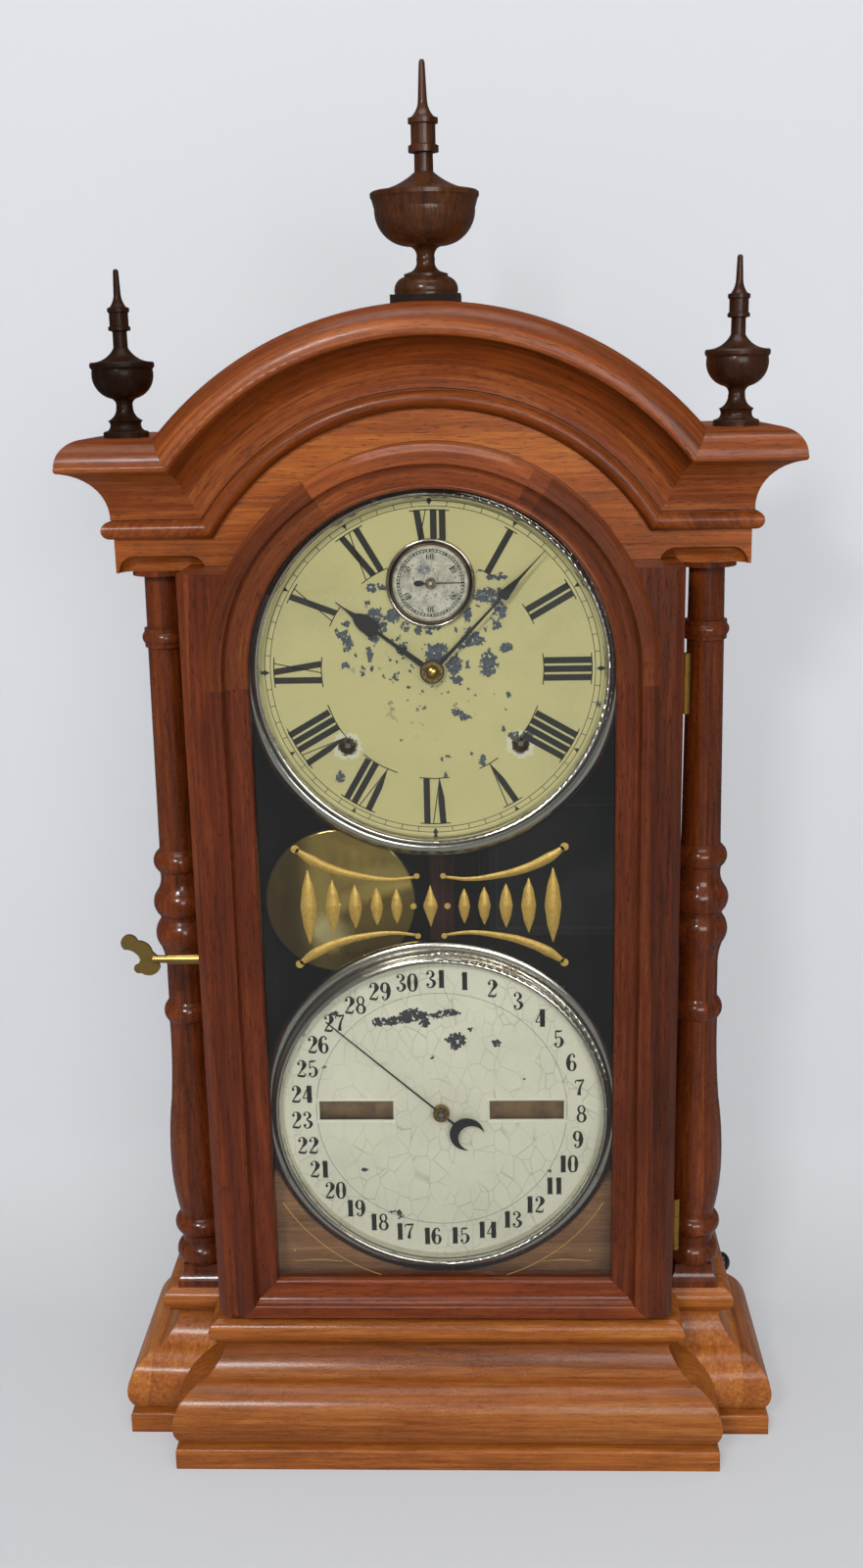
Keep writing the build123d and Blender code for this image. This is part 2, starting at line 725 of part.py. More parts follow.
def make_finials():
    block_y = behind(CENTRE_FINIAL_SETBACK)
    half = FINIAL_BLOCK_SIZE / 2
    top = crown_z + FINIAL_BLOCK_RISE
    stand = block(-half, half, block_y - half, block_y + half, crown_z - 4, top)
    stand = stand - rod_y(arch_top_radius, 0, front_y, back_y, ARCH_CENTRE_Z)
    finial = turned(centre_finial_profile(TOTAL_HEIGHT - top), 0, block_y, top)
    keep("centre_finial_block", stand)
    keep("centre_finial", finial)
    side_x = frieze_half - SIDE_FINIAL_INSET
    side = turned(side_finial_profile(SIDE_FINIAL_HEIGHT), side_x, behind(SIDE_FINIAL_SETBACK), cornice_top_z)
    keep("finial_right", side)
    keep("finial_left", mirrored(side))


# Door

def frame_profile():
    """Section of the door frame: distance out from the glass opening and depth behind the front."""
    edge = door_half - sight_radius
    return [
        (REBATE_WIDTH, DOOR_THICKNESS), (REBATE_WIDTH, REBATE_DEPTH), (0, REBATE_DEPTH), (0, 8.6),
        (0.6, 7.5, 2.2, 7.2), (7.4, 6.2),
        (11.8, 4.6, 13.4, 0.8), (13.9, 0), (20.3, 0),
        (ARCH_BAND_WIDTH, 2.5), (edge - 5.1, 2.5), (edge, 7.6), (edge, DOOR_THICKNESS),
    ]


def band_profile():
    """The part of the section that goes round the arch."""
    return frame_profile()[:-3] + [(ARCH_BAND_WIDTH, DOOR_THICKNESS)]


def frame_leg(profile, z_low, z_high):
    """Length of the right-hand stile."""
    section = shifted(profile, lambda s, d: (sight_radius + s, behind(d)))
    return prism_z(section, z_low, z_high)


def rail_wedge():
    """Everything below the mitres of the bottom rail."""
    reach = sight_bottom_z - door_bottom_z
    profile = [(-sight_radius, sight_bottom_z), (sight_radius, sight_bottom_z),
               (sight_radius + reach, door_bottom_z), (-sight_radius - reach, door_bottom_z)]
    return prism_y(profile, front_y, back_y)


def spandrel():
    """Shoulder of the right-hand stile, which fills the corner outside the arch."""
    edge = door_half - sight_radius
    flat = shifted([(0, DOOR_THICKNESS), (0, 2.5), (edge - 5.1, 2.5), (edge, 7.6), (edge, DOOR_THICKNESS)],
                   lambda s, d: (sight_radius + s, behind(d)))
    corner = prism_z(flat, arch_joint_z, shoulder_z)
    arch = rod_y(band_radius, 0, front_y, back_y, ARCH_CENTRE_Z)
    below = block(0, band_radius, front_y, back_y, arch_joint_z - 1, ARCH_CENTRE_Z)
    return corner - arch - below


def latch_finger_x():
    """Middle of the latch finger, which swings back into the box close to its left side."""
    return LATCH_FINGER_INSET - box_inner_half


def latch_cuts():
    """Bore and slot in the left stile for the latch arbor and its finger."""
    half = LATCH_FINGER_THICKNESS / 2 + LATCH_SLOT_CLEARANCE
    x = latch_finger_x()
    y = behind(LATCH_DEPTH)
    room = LATCH_FINGER_WIDTH / 2 + LATCH_SWING_CLEARANCE
    bore_end = x + LATCH_INNER_BEARING + 1
    bore = rod_x(LATCH_ARBOR_RADIUS + PIN_CLEARANCE, -door_half - 1, bore_end, y, latch_z)
    slot = block(x - half, x + half, y - room, behind(DOOR_THICKNESS) + 1,
                 latch_z - LATCH_FINGER_LENGTH - LATCH_SWING_CLEARANCE, latch_z + room)
    return bore + slot


def hinge_seat(z):
    """Shallow recess for a door leaf in the right-hand edge of the door."""
    half = HINGE_LENGTH / 2
    low_y = behind(DOOR_THICKNESS) - HINGE_LEAF_WIDTH
    return block(door_half - HINGE_LEAF_THICKNESS, door_half + 1, low_y, behind(DOOR_THICKNESS) + 1,
                 z - half, z + half)


def make_door_frame():
    wedge = rail_wedge()
    stile = frame_leg(frame_profile(), door_bottom_z, arch_joint_z) - wedge + spandrel()
    keep("door_stile_left", mirrored(stile) - latch_cuts())
    for z in hinge_heights:
        stile = stile - hinge_seat(z)
    keep("door_stile_right", stile)
    rail_section = shifted(frame_profile()[:9], lambda s, d: (behind(d), sight_bottom_z - s))
    rail_edge = [(behind(0), door_bottom_z + 0.6), (behind(0.8), door_bottom_z),
                 (behind(DOOR_THICKNESS), door_bottom_z)]
    rail = prism_x(rail_section + rail_edge, -door_half, door_half)
    keep("door_rail", rail & wedge)
    ring = spun(shifted(band_profile(), lambda s, d: (sight_radius + s, behind(d))), 0, ARCH_CENTRE_Z)
    ring = ring & block(-FAR, FAR, front_y, back_y, ARCH_CENTRE_Z, FAR)
    foot = frame_leg(band_profile(), arch_joint_z, ARCH_CENTRE_Z)
    crown = [(0, ARCH_CENTRE_Z)] + [seam_point(side * CROWN_SEAM_ANGLE / 2) for side in (-1, 1)]
    sector = prism_y(crown, front_y, back_y)
    legs = (ring - sector).solids().sort_by(Axis.X)
    keep("door_arch", mirrored(foot) + legs[0], ring & sector, foot + legs[-1])


def seam_point(angle):
    """Far point on a seam of the arch, at an angle from straight up."""
    return FAR / 4 * math.sin(math.radians(angle)), ARCH_CENTRE_Z + FAR / 4 * math.cos(math.radians(angle))


def make_glazing():
    seat = REBATE_WIDTH - GLASS_EDGE_CLEARANCE
    glass_y = behind(REBATE_DEPTH)
    glass_back_y = glass_y + GLASS_THICKNESS
    keep("door_glass", round_top(sight_radius + seat, sight_bottom_z - seat, glass_y, glass_back_y))
    stop_back_y = glass_back_y + STOP_THICKNESS
    reach = REBATE_WIDTH - STOP_CLEARANCE
    outer = round_top(sight_radius + reach, sight_bottom_z - reach, glass_back_y, stop_back_y)
    inner = round_top(sight_radius + STOP_REVEAL, sight_bottom_z, glass_y, behind(DOOR_THICKNESS))
    ring = outer - inner
    above = block(-FAR, FAR, -FAR, FAR, ARCH_CENTRE_Z, FAR)
    bottom = block(-FAR, FAR, -FAR, FAR, 0, sight_bottom_z)
    sides = (ring - above - bottom).solids().sort_by(Axis.X)
    keep("glass_stops", ring & above, ring & bottom, sides[0], sides[-1])


# Hinges

def hinge_axis():
    return door_half + HINGE_BARREL_RADIUS, behind(DOOR_THICKNESS) + RUNNING_GAP / 2


def knuckle(z_low, z_high, bore):
    x, y = hinge_axis()
    return rod_z(HINGE_BARREL_RADIUS, x, y, z_low, z_high) - rod_z(bore, x, y, z_low - 1, z_high + 1)


def door_leaf(z):
    """Leaf let into the door's edge, with the two outer knuckles and the pin."""
    third = HINGE_LENGTH / 6
    half = HINGE_LENGTH / 2
    x, y = hinge_axis()
    leaf = block(door_half - HINGE_LEAF_THICKNESS, door_half, y - RUNNING_GAP / 2 - HINGE_LEAF_WIDTH,
                 y - RUNNING_GAP / 2, z - half, z + half)
    ends = []
    for low, high in ((z - half, z - third), (z + third, z + half)):
        tab = block(door_half - HINGE_LEAF_THICKNESS, x, y - 1.4, y - RUNNING_GAP / 2, low, high)
        ends.append(rod_z(HINGE_BARREL_RADIUS, x, y, low, high) + tab)
    pin = rod_z(HINGE_PIN_RADIUS, x, y, z - third - 1, z + third + 1)
    rear = block(x - 5, door_half, y, y + 5, z - half, z + half)
    return (leaf + ends[0] + ends[1]) - rear + pin


def case_leaf(z):
    """Leaf on the side of the box, with the middle knuckle."""
    third = HINGE_LENGTH / 6 - 0.15
    half = HINGE_LENGTH / 2
    x, y = hinge_axis()
    leaf_y = y + 3.2
    outer_x = box_half + HINGE_LEAF_THICKNESS
    leaf = block(box_half, outer_x, leaf_y, leaf_y + HINGE_LEAF_WIDTH, z - half, z + half)
    tab = block(box_half, outer_x, y + RUNNING_GAP, leaf_y, z - third, z + third)
    barrel = knuckle(z - third, z + third, HINGE_PIN_RADIUS + PIN_CLEARANCE)
    reach = block(box_half, x, y + 1.4, y + 2.4, z - third, z + third)
    reach = reach - rod_z(HINGE_PIN_RADIUS + PIN_CLEARANCE, x, y, z - half, z + half)
    door_room = block(x - 6, door_half, y - 6, y + RUNNING_GAP / 2, z - half, z + half)
    return leaf + tab + reach + barrel - door_room


def make_hinges():
    keep("door_hinge_leaves", *[door_leaf(z) for z in hinge_heights])
    keep("case_fittings", *[case_leaf(z) for z in hinge_heights], latch_keeper())


def latch_keeper():
    """Brass block on the inside of the left side, which drops into the notch of the latch finger."""
    low = latch_z + KEEPER_GAP
    x = -box_inner_half
    y = box_front_y
    return block(x, x + KEEPER_WIDTH, y, y + KEEPER_THICKNESS, low, low + KEEPER_HEIGHT)


# Latch and key

def make_latch():
    """Arbor through the edge of the door with a notched finger that swings behind the keeper."""
    x = latch_finger_x()
    y = behind(LATCH_DEPTH)
    half = LATCH_FINGER_THICKNESS / 2
    socket_end = -door_half - KEY_BARREL_LENGTH + 6
    arbor = rod_x(LATCH_ARBOR_RADIUS, socket_end, x + LATCH_INNER_BEARING, y, latch_z)
    width = LATCH_FINGER_WIDTH / 2
    lip_in = box_front_y - y - 1.0
    lip_out = box_front_y + KEEPER_THICKNESS - y + 0.4
    end = LATCH_FINGER_LENGTH
    profile = [
        (-width, 0), (-width, -end + 1), (-width + 0.4, -end + 0.3, -width + 1.2, -end), (width - 1, -end),
        (width - 0.3, -end + 0.3, width, -end + 1), (width, -lip_out), (-0.4, -lip_out), (-0.4, -lip_in),
        (width, -lip_in), (width, 0), (0, width, -width, 0),
    ]
    finger = prism_x(shifted(profile, lambda u, v: (y + u, latch_z + v)), x - half, x + half)
    keep("latch_finger", arbor + finger)
    barrel_low = -door_half - KEY_BARREL_LENGTH
    barrel = rod_x(KEY_BARREL_RADIUS, barrel_low, -door_half - RUNNING_GAP, y, latch_z)
    barrel = barrel - rod_x(LATCH_ARBOR_RADIUS, socket_end, 0, y, latch_z)
    collar = rod_x(KEY_BARREL_RADIUS - 0.5, barrel_low - 0.8, barrel_low, y, latch_z)
    shank = rod_x(KEY_SHANK_RADIUS, barrel_low - 9, barrel_low, y, latch_z)
    keep("door_key", barrel + collar + shank + key_wing(y, barrel_low))


def key_wing(y, barrel_low):
    """Flat two-lobed wing, measured outward from the end of the barrel."""
    wing = [
        (6.5, 2.1), (9.2, 4.6), (11.8, 9.4, 17.4, 11.4), (27.2, 11.2, 25.4, 6.2), (19.8, 4.6, 16.6, 0.2),
        (17.6, -2.2, 20, -3.8), (20.4, -6.4, 16.4, -8.2), (10, -9.5, 6.2, -7), (5.2, -4.4, 6.5, -2.1),
    ]
    half = KEY_WING_THICKNESS / 2
    place = shifted(wing, lambda u, v: (barrel_low - u, latch_z + v))
    return prism_y(place, y - half, y + half)


# Dials and bezels

def bezel_profile():
    """Radius and depth of a bezel: a bright roll, its inner wall and a wide flange behind the door."""
    rim = bezel_radius
    front = BEZEL_DEPTH
    flange = rim + FLANGE_WIDTH
    flange_front = DOOR_THICKNESS + FLANGE_CLEARANCE
    back = DIAL_DEPTH + DIAL_THICKNESS
    pocket = dial_radius + DIAL_FIT
    return [
        (flange, back), (flange, flange_front + 0.9), (flange - 0.9, flange_front), (rim + 1.2, flange_front),
        (rim + 0.2, flange_front - 0.3, rim, flange_front - 1.2), (rim, front + 2.2),
        (rim - 0.5, front + 0.6, rim - 1.9, front), (rim - 3.1, front + 0.4, rim - 3.6, front + 1.4),
        (rim - 3.7, front + 2.6), (rim - 4.3, front + 3.4), (rim - 4.6, DIAL_DEPTH), (pocket, DIAL_DEPTH),
        (pocket, back),
    ]


def make_bezel(name, z):
    keep(name, spun(shifted(bezel_profile(), lambda r, d: (r, behind(d))), 0, z))


def dial_plate(z):
    return rod_y(dial_radius, 0, behind(DIAL_DEPTH), behind(DIAL_DEPTH + DIAL_THICKNESS), z)


def dial_hole(radius, x, z):
    return rod_y(radius, x, behind(DIAL_DEPTH) - 1, behind(DIAL_DEPTH + DIAL_THICKNESS) + 1, z)


def make_time_dial():
    z = ARCH_CENTRE_Z
    dial = dial_plate(z) - dial_hole(HOUR_PIPE_RADIUS + 0.8, 0, z)
    dial = dial - dial_hole(SECONDS_HOLE_RADIUS, 0, z + SECONDS_OFFSET)
    for x in (-WINDING_OFFSET_X, WINDING_OFFSET_X):
        dial = dial - dial_hole(WINDING_HOLE_RADIUS, x, z - WINDING_OFFSET_Z)
    keep("time_dial", dial)
    make_bezel("time_bezel", z)
    r = SECONDS_RADIUS
    bore = SECONDS_BORE
    ring = [(bore, 0), (bore, 0.6), (r - 4.6, 0.6), (r - 3.9, 2.4), (r - 3.2, 1.5, r - 2.2, 2.2),
            (r - 1.2, 2.9, r - 0.3, 1.8), (r, 1), (r, 0)]
    ring = shifted(ring, lambda u, rise: (u, behind(DIAL_DEPTH - rise)))
    keep("seconds_dial", spun(ring, 0, z + SECONDS_OFFSET))


def make_calendar_dial():
    z = calendar_z
    dial = dial_plate(z) - dial_hole(DATE_ARBOR_RADIUS + 0.6, 0, z)
    for x in (-WINDOW_OFFSET, WINDOW_OFFSET):
        dial = dial - block(x - WINDOW_WIDTH / 2, x + WINDOW_WIDTH / 2, behind(DIAL_DEPTH) - 1,
                            behind(DIAL_DEPTH) + 3, z - WINDOW_HEIGHT / 2, z + WINDOW_HEIGHT / 2)
    keep("calendar_dial", dial)
    make_bezel("calendar_bezel", z)


# Hands

def swung(piece, angle, z):
    """Turn a piece that points straight up clockwise, as seen from the front, about a dial's centre."""
    return Pos(0, 0, z) * Rot(0, angle, 0) * Pos(0, 0, -z) * piece


def hand_blade(half_outline, depth, z):
    """Flat hand from the right half of its outline, (half width, distance from the centre)."""
    right = shifted(half_outline, lambda w, r: (w, z + r))
    blade = prism_y(right, behind(depth), behind(depth + HAND_THICKNESS))
    return blade + mirrored(blade)


def make_hour_hand():
    z = ARCH_CENTRE_Z
    tip = dial_radius - HOUR_HAND_SHORT
    spade = [(0, 0), (1.7, 0), (1.4, 0.282), (2.7, 0.286), (2.2, 0.324), (1.0, 0.33), (0.9, 0.576),
             (3.6, 0.585, 4.6, 0.652), (4.4, 0.727, 1.6, 0.809), (0.7, 0.879, 0.3, 1), (0, 1)]
    spade = shifted(spade, lambda w, share: (w, share * tip))
    blade = swung(hand_blade(spade, HOUR_HAND_DEPTH, z), HOUR_HAND_ANGLE, z)
    disc = rod_y(HOUR_HUB_RADIUS, 0, behind(HOUR_HAND_DEPTH), behind(HOUR_HAND_DEPTH + HAND_THICKNESS), z)
    pipe_back = behind(FRONT_PLATE_DEPTH) - 0.5
    pipe = rod_y(HOUR_PIPE_RADIUS, 0, behind(HOUR_HAND_DEPTH), pipe_back, z)
    wheel_y = behind(FRONT_PLATE_DEPTH) - MOTION_WORK_GAP
    wheel = toothed_disc(HOUR_WHEEL_RADIUS, HOUR_WHEEL_TEETH, TOOTH_DEPTH, wheel_y, 0, z)
    bore = rod_y(CENTRE_ARBOR_RADIUS + 0.6 + PIN_CLEARANCE, 0, front_y, back_y, z)
    keep("hour_hand", blade + disc + pipe + wheel - bore)


def make_minute_hand():
    z = ARCH_CENTRE_Z
    tip = dial_radius - MINUTE_HAND_SHORT
    spade = [(0, 0), (1.3, 0), (1.0, 0.197), (0.55, 0.619), (2.6, 0.63, 2.6, 0.664), (2.0, 0.71, 0.9, 0.769),
             (0.35, 0.896), (0.15, 1), (0, 1)]
    spade = shifted(spade, lambda w, share: (w, share * tip))
    blade = swung(hand_blade(spade, MINUTE_HAND_DEPTH, z), MINUTE_HAND_ANGLE, z)
    hub = rod_y(MINUTE_HUB_RADIUS, 0, behind(MINUTE_HAND_DEPTH), behind(MINUTE_HAND_DEPTH + HAND_THICKNESS), z)
    bore = rod_y(CENTRE_ARBOR_RADIUS, 0, front_y, back_y, z)
    keep("minute_hand", blade + hub - bore)


def make_seconds_hand():
    z = ARCH_CENTRE_Z + SECONDS_OFFSET
    tip = SECONDS_RADIUS - SECONDS_HAND_SHORT
    leaf = [(0, -9.5), (1.1, -8.6, 1.5, -6.6), (1.2, -4.6, 0.3, -3.4), (0.3, 0), (0.16, tip), (0, tip)]
    blade = hand_blade(leaf, SECONDS_HAND_DEPTH, z)
    blade = swung(blade, 90, z)
    hub_y = behind(SECONDS_HAND_DEPTH - 0.6)
    hub = rod_y(SECONDS_HUB_RADIUS, 0, hub_y, behind(SECONDS_HAND_DEPTH + HAND_THICKNESS), z)
    bore = rod_y(SECONDS_PIVOT_RADIUS, 0, behind(SECONDS_HAND_DEPTH), back_y, z)
    keep("seconds_hand", blade + hub - bore)


def make_date_hand():
    z = calendar_z
    tip = dial_radius - DATE_HAND_SHORT
    rod = [(0, -12), (0.7, -12), (0.5, 0), (0.28, tip), (0, tip)]
    blade = hand_blade(rod, DATE_HAND_DEPTH, z)
    moon_z = z - 20.4
    moon = rod_y(10.4, 0, behind(DATE_HAND_DEPTH), behind(DATE_HAND_DEPTH + HAND_THICKNESS), moon_z)
    moon = moon - rod_y(8.2, 0, front_y, back_y, moon_z - 3.9)
    boss = rod_y(DATE_BOSS_RADIUS, 0, behind(DATE_HAND_DEPTH - 0.8), behind(DATE_HAND_DEPTH + 3), z)
    hand = swung(blade + moon + boss, DATE_HAND_ANGLE, z)
    keep("date_hand", hand - rod_y(DATE_ARBOR_RADIUS, 0, front_y, back_y, z))
    arbor = rod_y(DATE_ARBOR_RADIUS, 0, behind(DATE_HAND_DEPTH - 1.4), behind(FRAME_PLATE_DEPTH + 3), z)
    wheel = toothed_disc(DATE_WHEEL_RADIUS, DATE_TEETH, TOOTH_DEPTH, behind(DATE_WHEEL_DEPTH), 0, z)
    keep("date_wheel", arbor + wheel)


# Movement

def toothed_disc(radius, teeth, depth, y, x, z):
    """Wheel with straight-sided teeth, its front face at y."""
    pitch = 360 / teeth
    points = []
    for i in range(teeth):
        for share, r in ((0.0, radius - depth), (0.3, radius - depth), (0.42, radius), (0.72, radius)):
            angle = math.radians((i + share) * pitch)
            points.append((x + r * math.sin(angle), z + r * math.cos(angle)))
    return prism_y(points, y, y + WHEEL_THICKNESS)


def ratchet_disc(radius, teeth, depth, y, x, z):
    """Escape wheel: one steep and one sloping flank on each tooth."""
    pitch = 360 / teeth
    points = []
    for i in range(teeth):
        for share, r in ((0.0, radius), (0.25, radius - depth), (0.85, radius - depth)):
            angle = math.radians((i + share) * pitch)
            points.append((x + r * math.sin(angle), z + r * math.cos(angle)))
    return prism_y(points, y, y + WHEEL_THICKNESS)


def plate(depth):
    """Movement plate with clipped corners and the holes of its arbors."""
    half = PLATE_HALF_WIDTH
    inner = half - PLATE_CORNER
    z = ARCH_CENTRE_Z
    low = z - PLATE_BOTTOM
    high = z + PLATE_TOP
    profile = [(-inner, low), (inner, low), (half, low + PLATE_CORNER), (half, high - PLATE_CORNER),
               (inner, high), (-inner, high), (-half, high - PLATE_CORNER), (-half, low + PLATE_CORNER)]
    y_front = behind(depth)
    y_back = behind(depth + PLATE_THICKNESS)
    sheet = prism_y(profile, y_front, y_back)
    for x, rise, radius in arbor_holes():
        sheet = sheet - rod_y(radius + PIN_CLEARANCE, x, y_front - 1, y_back + 1, z + rise)
    return sheet


def arbor_holes():
    """Place and radius of each arbor that runs in the plates."""
    winding = [(x, -WINDING_OFFSET_Z, WINDING_ARBOR_RADIUS) for x in (-WINDING_OFFSET_X, WINDING_OFFSET_X)]
    centre = (0, 0, CENTRE_ARBOR_RADIUS)
    seconds = (0, SECONDS_OFFSET, SECONDS_ARBOR_RADIUS)
    hammer = (HAMMER_X, -HAMMER_PIVOT_DROP, HAMMER_ARBOR_RADIUS)
    return winding + [centre, seconds, hammer]


def rods_between(radius, places, y_low, y_high):
    """Alike rods from front to back, at places measured from the centre of the time dial."""
    return [rod_y(radius, x, y_low, y_high, ARCH_CENTRE_Z + rise) for x, rise in places]


def make_movement():
    """Two plates, the pillars between them, the legs to the back board and the feet of the dial."""
    keep("movement_plates", plate(FRONT_PLATE_DEPTH), plate(BACK_PLATE_DEPTH))
    pillar_places = ((-60, 34), (60, 34), (-6, -58), (24, 50))
    leg_places = ((-20, 54), (50, 34), (0, -58), (50, -58))
    foot_places = ((-52, 36), (52, 36), (-22, -56), (22, -56))
    pillars = rods_between(PILLAR_RADIUS, pillar_places, behind(FRONT_PLATE_DEPTH + PLATE_THICKNESS),
                           behind(BACK_PLATE_DEPTH))
    legs = rods_between(PILLAR_RADIUS, leg_places, behind(BACK_PLATE_DEPTH + PLATE_THICKNESS), back_board_y)
    feet = rods_between(DIAL_FOOT_RADIUS, foot_places, behind(DIAL_DEPTH + DIAL_THICKNESS),
                        behind(FRONT_PLATE_DEPTH))
    keep("movement_pillars", *pillars, *legs, *feet)


def make_centre_arbor():
    """Arbor of the minute hand with its wheel and the domed nut that holds the hands."""
    z = ARCH_CENTRE_Z
    arbor = rod_y(CENTRE_ARBOR_RADIUS, 0, behind(MINUTE_HAND_DEPTH), arbor_end(), z)
    wheel = toothed_disc(CENTRE_WHEEL_RADIUS, CENTRE_WHEEL_TEETH, TOOTH_DEPTH, behind(CENTRE_WHEEL_DEPTH), 0, z)
    rise = NUT_RISE
    nut = [(0, 0), (NUT_RADIUS, 0), (NUT_RADIUS, -rise * 0.3)] + dome(NUT_RADIUS, -rise * 0.3, -rise)
    nut = spun(shifted(nut, lambda r, d: (r, behind(MINUTE_HAND_DEPTH + d))), 0, z)
    keep("centre_arbor", arbor + wheel + nut)


def arbor_end():
    """Arbors run just through the back plate."""
    return behind(BACK_PLATE_DEPTH + PLATE_THICKNESS) + 0.6


def dome(radius, low, high):
    """Last step of a turned profile: a spherical end that meets the axis squarely."""
    rise = high - low
    sphere = (radius ** 2 + rise ** 2) / (2 * abs(rise))
    half_angle = math.asin(radius / sphere) / 2
    drop = sphere * (1 - math.cos(half_angle))
    return [(sphere * math.sin(half_angle), high - math.copysign(drop, rise), 0, high)]


def make_escapement():
    z = ARCH_CENTRE_Z + SECONDS_OFFSET
    arbor = rod_y(SECONDS_PIVOT_RADIUS, 0, behind(SECONDS_HAND_DEPTH), behind(FRONT_PLATE_DEPTH), z)
    journal = rod_y(SECONDS_ARBOR_RADIUS, 0, behind(FRONT_PLATE_DEPTH) - 1, arbor_end(), z)
    wheel_y = behind(ESCAPE_WHEEL_DEPTH)
    wheel = ratchet_disc(ESCAPE_WHEEL_RADIUS, ESCAPE_TEETH, ESCAPE_TOOTH_DEPTH, wheel_y, 0, z)
    keep("escape_wheel", arbor + journal + wheel)


def make_winding_arbors():
    """Square-ended arbors with the great wheels and the barrels of the two mainsprings."""
    z = ARCH_CENTRE_Z - WINDING_OFFSET_Z
    for name, x in (("winding_arbor_left", -WINDING_OFFSET_X), ("winding_arbor_right", WINDING_OFFSET_X)):
        half = WINDING_SQUARE / 2
        tip_y = behind(DIAL_DEPTH + 1.4)
        square = block(x - half, x + half, tip_y, behind(FRONT_PLATE_DEPTH), z - half, z + half)
        journal = rod_y(WINDING_ARBOR_RADIUS, x, behind(FRONT_PLATE_DEPTH) - 1, arbor_end(), z)
        wheel = toothed_disc(GREAT_WHEEL_RADIUS, GREAT_WHEEL_TEETH, TOOTH_DEPTH, behind(GREAT_WHEEL_DEPTH), x, z)
        barrel = rod_y(GREAT_WHEEL_RADIUS - BARREL_INSET, x, behind(GREAT_WHEEL_DEPTH + WHEEL_THICKNESS),
                       behind(BARREL_BACK_DEPTH), z)
        keep(name, square + journal + wheel + barrel)


# Pendulum

def make_pendulum():
    x = pendulum_x
    y = behind(PENDULUM_DEPTH)
    bob_top = bob_z + BOB_RADIUS
    half_spring = SPRING_WIDTH / 2
    spring = block(x - SPRING_THICKNESS / 2, x + SPRING_THICKNESS / 2, y - half_spring, y + half_spring,
                   pivot_z - SPRING_LENGTH, pivot_z)
    pin = rod_y(PIVOT_PIN_RADIUS, x, y - half_spring - 1.6, y + half_spring + 1.6, pivot_z)
    bob_bottom_z = bob_z - BOB_RADIUS
    rod = rod_z(ROD_RADIUS, x, y, bob_bottom_z - RATING_NUT_HEIGHT - 4, pivot_z - SPRING_LENGTH + 4)
    nut = rod_z(RATING_NUT_RADIUS, x, y, bob_bottom_z - RATING_NUT_HEIGHT, bob_bottom_z)
    keep("pendulum_rod", spring + pin + rod + nut)
    half = BOB_THICKNESS / 2
    rim = BOB_RADIUS - 1.4
    front = dome(rim, -1.6, -half)[0]
    back = dome(rim, 1.6, half)[0]
    lens = [(0, -half), (*front[:2], rim, -1.6), (BOB_RADIUS, 0, rim, 1.6), back]
    bob = spun(shifted(lens, lambda r, d: (r, y + d)), x, bob_z)
    keep("pendulum_bob", bob - rod_z(ROD_RADIUS, x, y, bob_bottom_z - 1, bob_top + 1))
    keep("suspension_cock", suspension_cock(x, y))


def suspension_cock(x, y):
    """Bracket on the back board, slotted for the suspension spring and bored for its cross pin."""
    half = COCK_WIDTH / 2
    low = pivot_z - COCK_HEIGHT / 2
    high = pivot_z + COCK_HEIGHT / 2
    arm = block(x - half, x + half, y - COCK_REACH, back_board_y, low, high)
    slot_half = SPRING_WIDTH / 2 + SPRING_CLEARANCE
    slot = block(x - SPRING_CLEARANCE, x + SPRING_CLEARANCE, y - slot_half, y + slot_half, low - 1, high + 1)
    bore = rod_y(PIVOT_PIN_RADIUS + PIN_CLEARANCE, x, y - COCK_REACH - 1, y + COCK_REACH + 1, pivot_z)
    foot_half = half + COCK_FOOT_MARGIN
    foot = block(x - foot_half, x + foot_half, back_board_y - 2.5, back_board_y, low - COCK_HEIGHT, high)
    return arm - slot - bore + foot


# Strike

def make_strike():
    """Coiled gong on its block, and the hammer that hangs from the movement's plates."""
    y = behind(GONG_DEPTH)
    arcs = []
    radius = GONG_INNER_RADIUS
    centre = 0.0
    start = (GONG_X + radius, y, gong_z)
    side = 1
    for _ in range(2 * GONG_TURNS):
        middle = (GONG_X + centre, y, gong_z + side * radius)
        end = (GONG_X + centre - side * radius, y, gong_z)
        arcs.append(ThreePointArc(start, middle, end))
        start = end
        centre += side * GONG_PITCH / 4
        radius += GONG_PITCH / 4
        side = -side
    path = Wire(arcs)
    section = Plane(origin=path @ 0, z_dir=path % 0) * Circle(GONG_WIRE_RADIUS)
    coil = sweep(section, path=path)
    print("gong: least gap between turns", round(GONG_PITCH - 2 * GONG_WIRE_RADIUS, 2), "mm")
    post_x = GONG_X + GONG_INNER_RADIUS
    post = block(post_x - 5, post_x + 5, y + GONG_WIRE_RADIUS, back_board_y, gong_z - 14, gong_z + 2.4)
    keep("strike_gong", coil, post)
    arm_y = behind(GONG_DEPTH) - HAMMER_STANDOFF
    arbor = rod_y(HAMMER_ARBOR_RADIUS, HAMMER_X, behind(FRONT_PLATE_DEPTH), arm_y + 3, hammer_pivot_z)
    head_z = hammer_pivot_z - HAMMER_LENGTH
    arm = rod_z(HAMMER_ARM_RADIUS, HAMMER_X, arm_y, head_z, hammer_pivot_z)
    hub = rod_y(HAMMER_HUB_RADIUS, HAMMER_X, arm_y - 3, arm_y + 3, hammer_pivot_z)
    half = HAMMER_HEAD_LENGTH / 2
    head = rod_x(HAMMER_HEAD_RADIUS, HAMMER_X - half, HAMMER_X + half, arm_y, head_z)
    keep("strike_hammer", arbor + arm + hub + head)


# Calendar works

def roller_axis(radius):
    return behind(DIAL_DEPTH + DIAL_THICKNESS + ROLLER_CLEARANCE + radius)


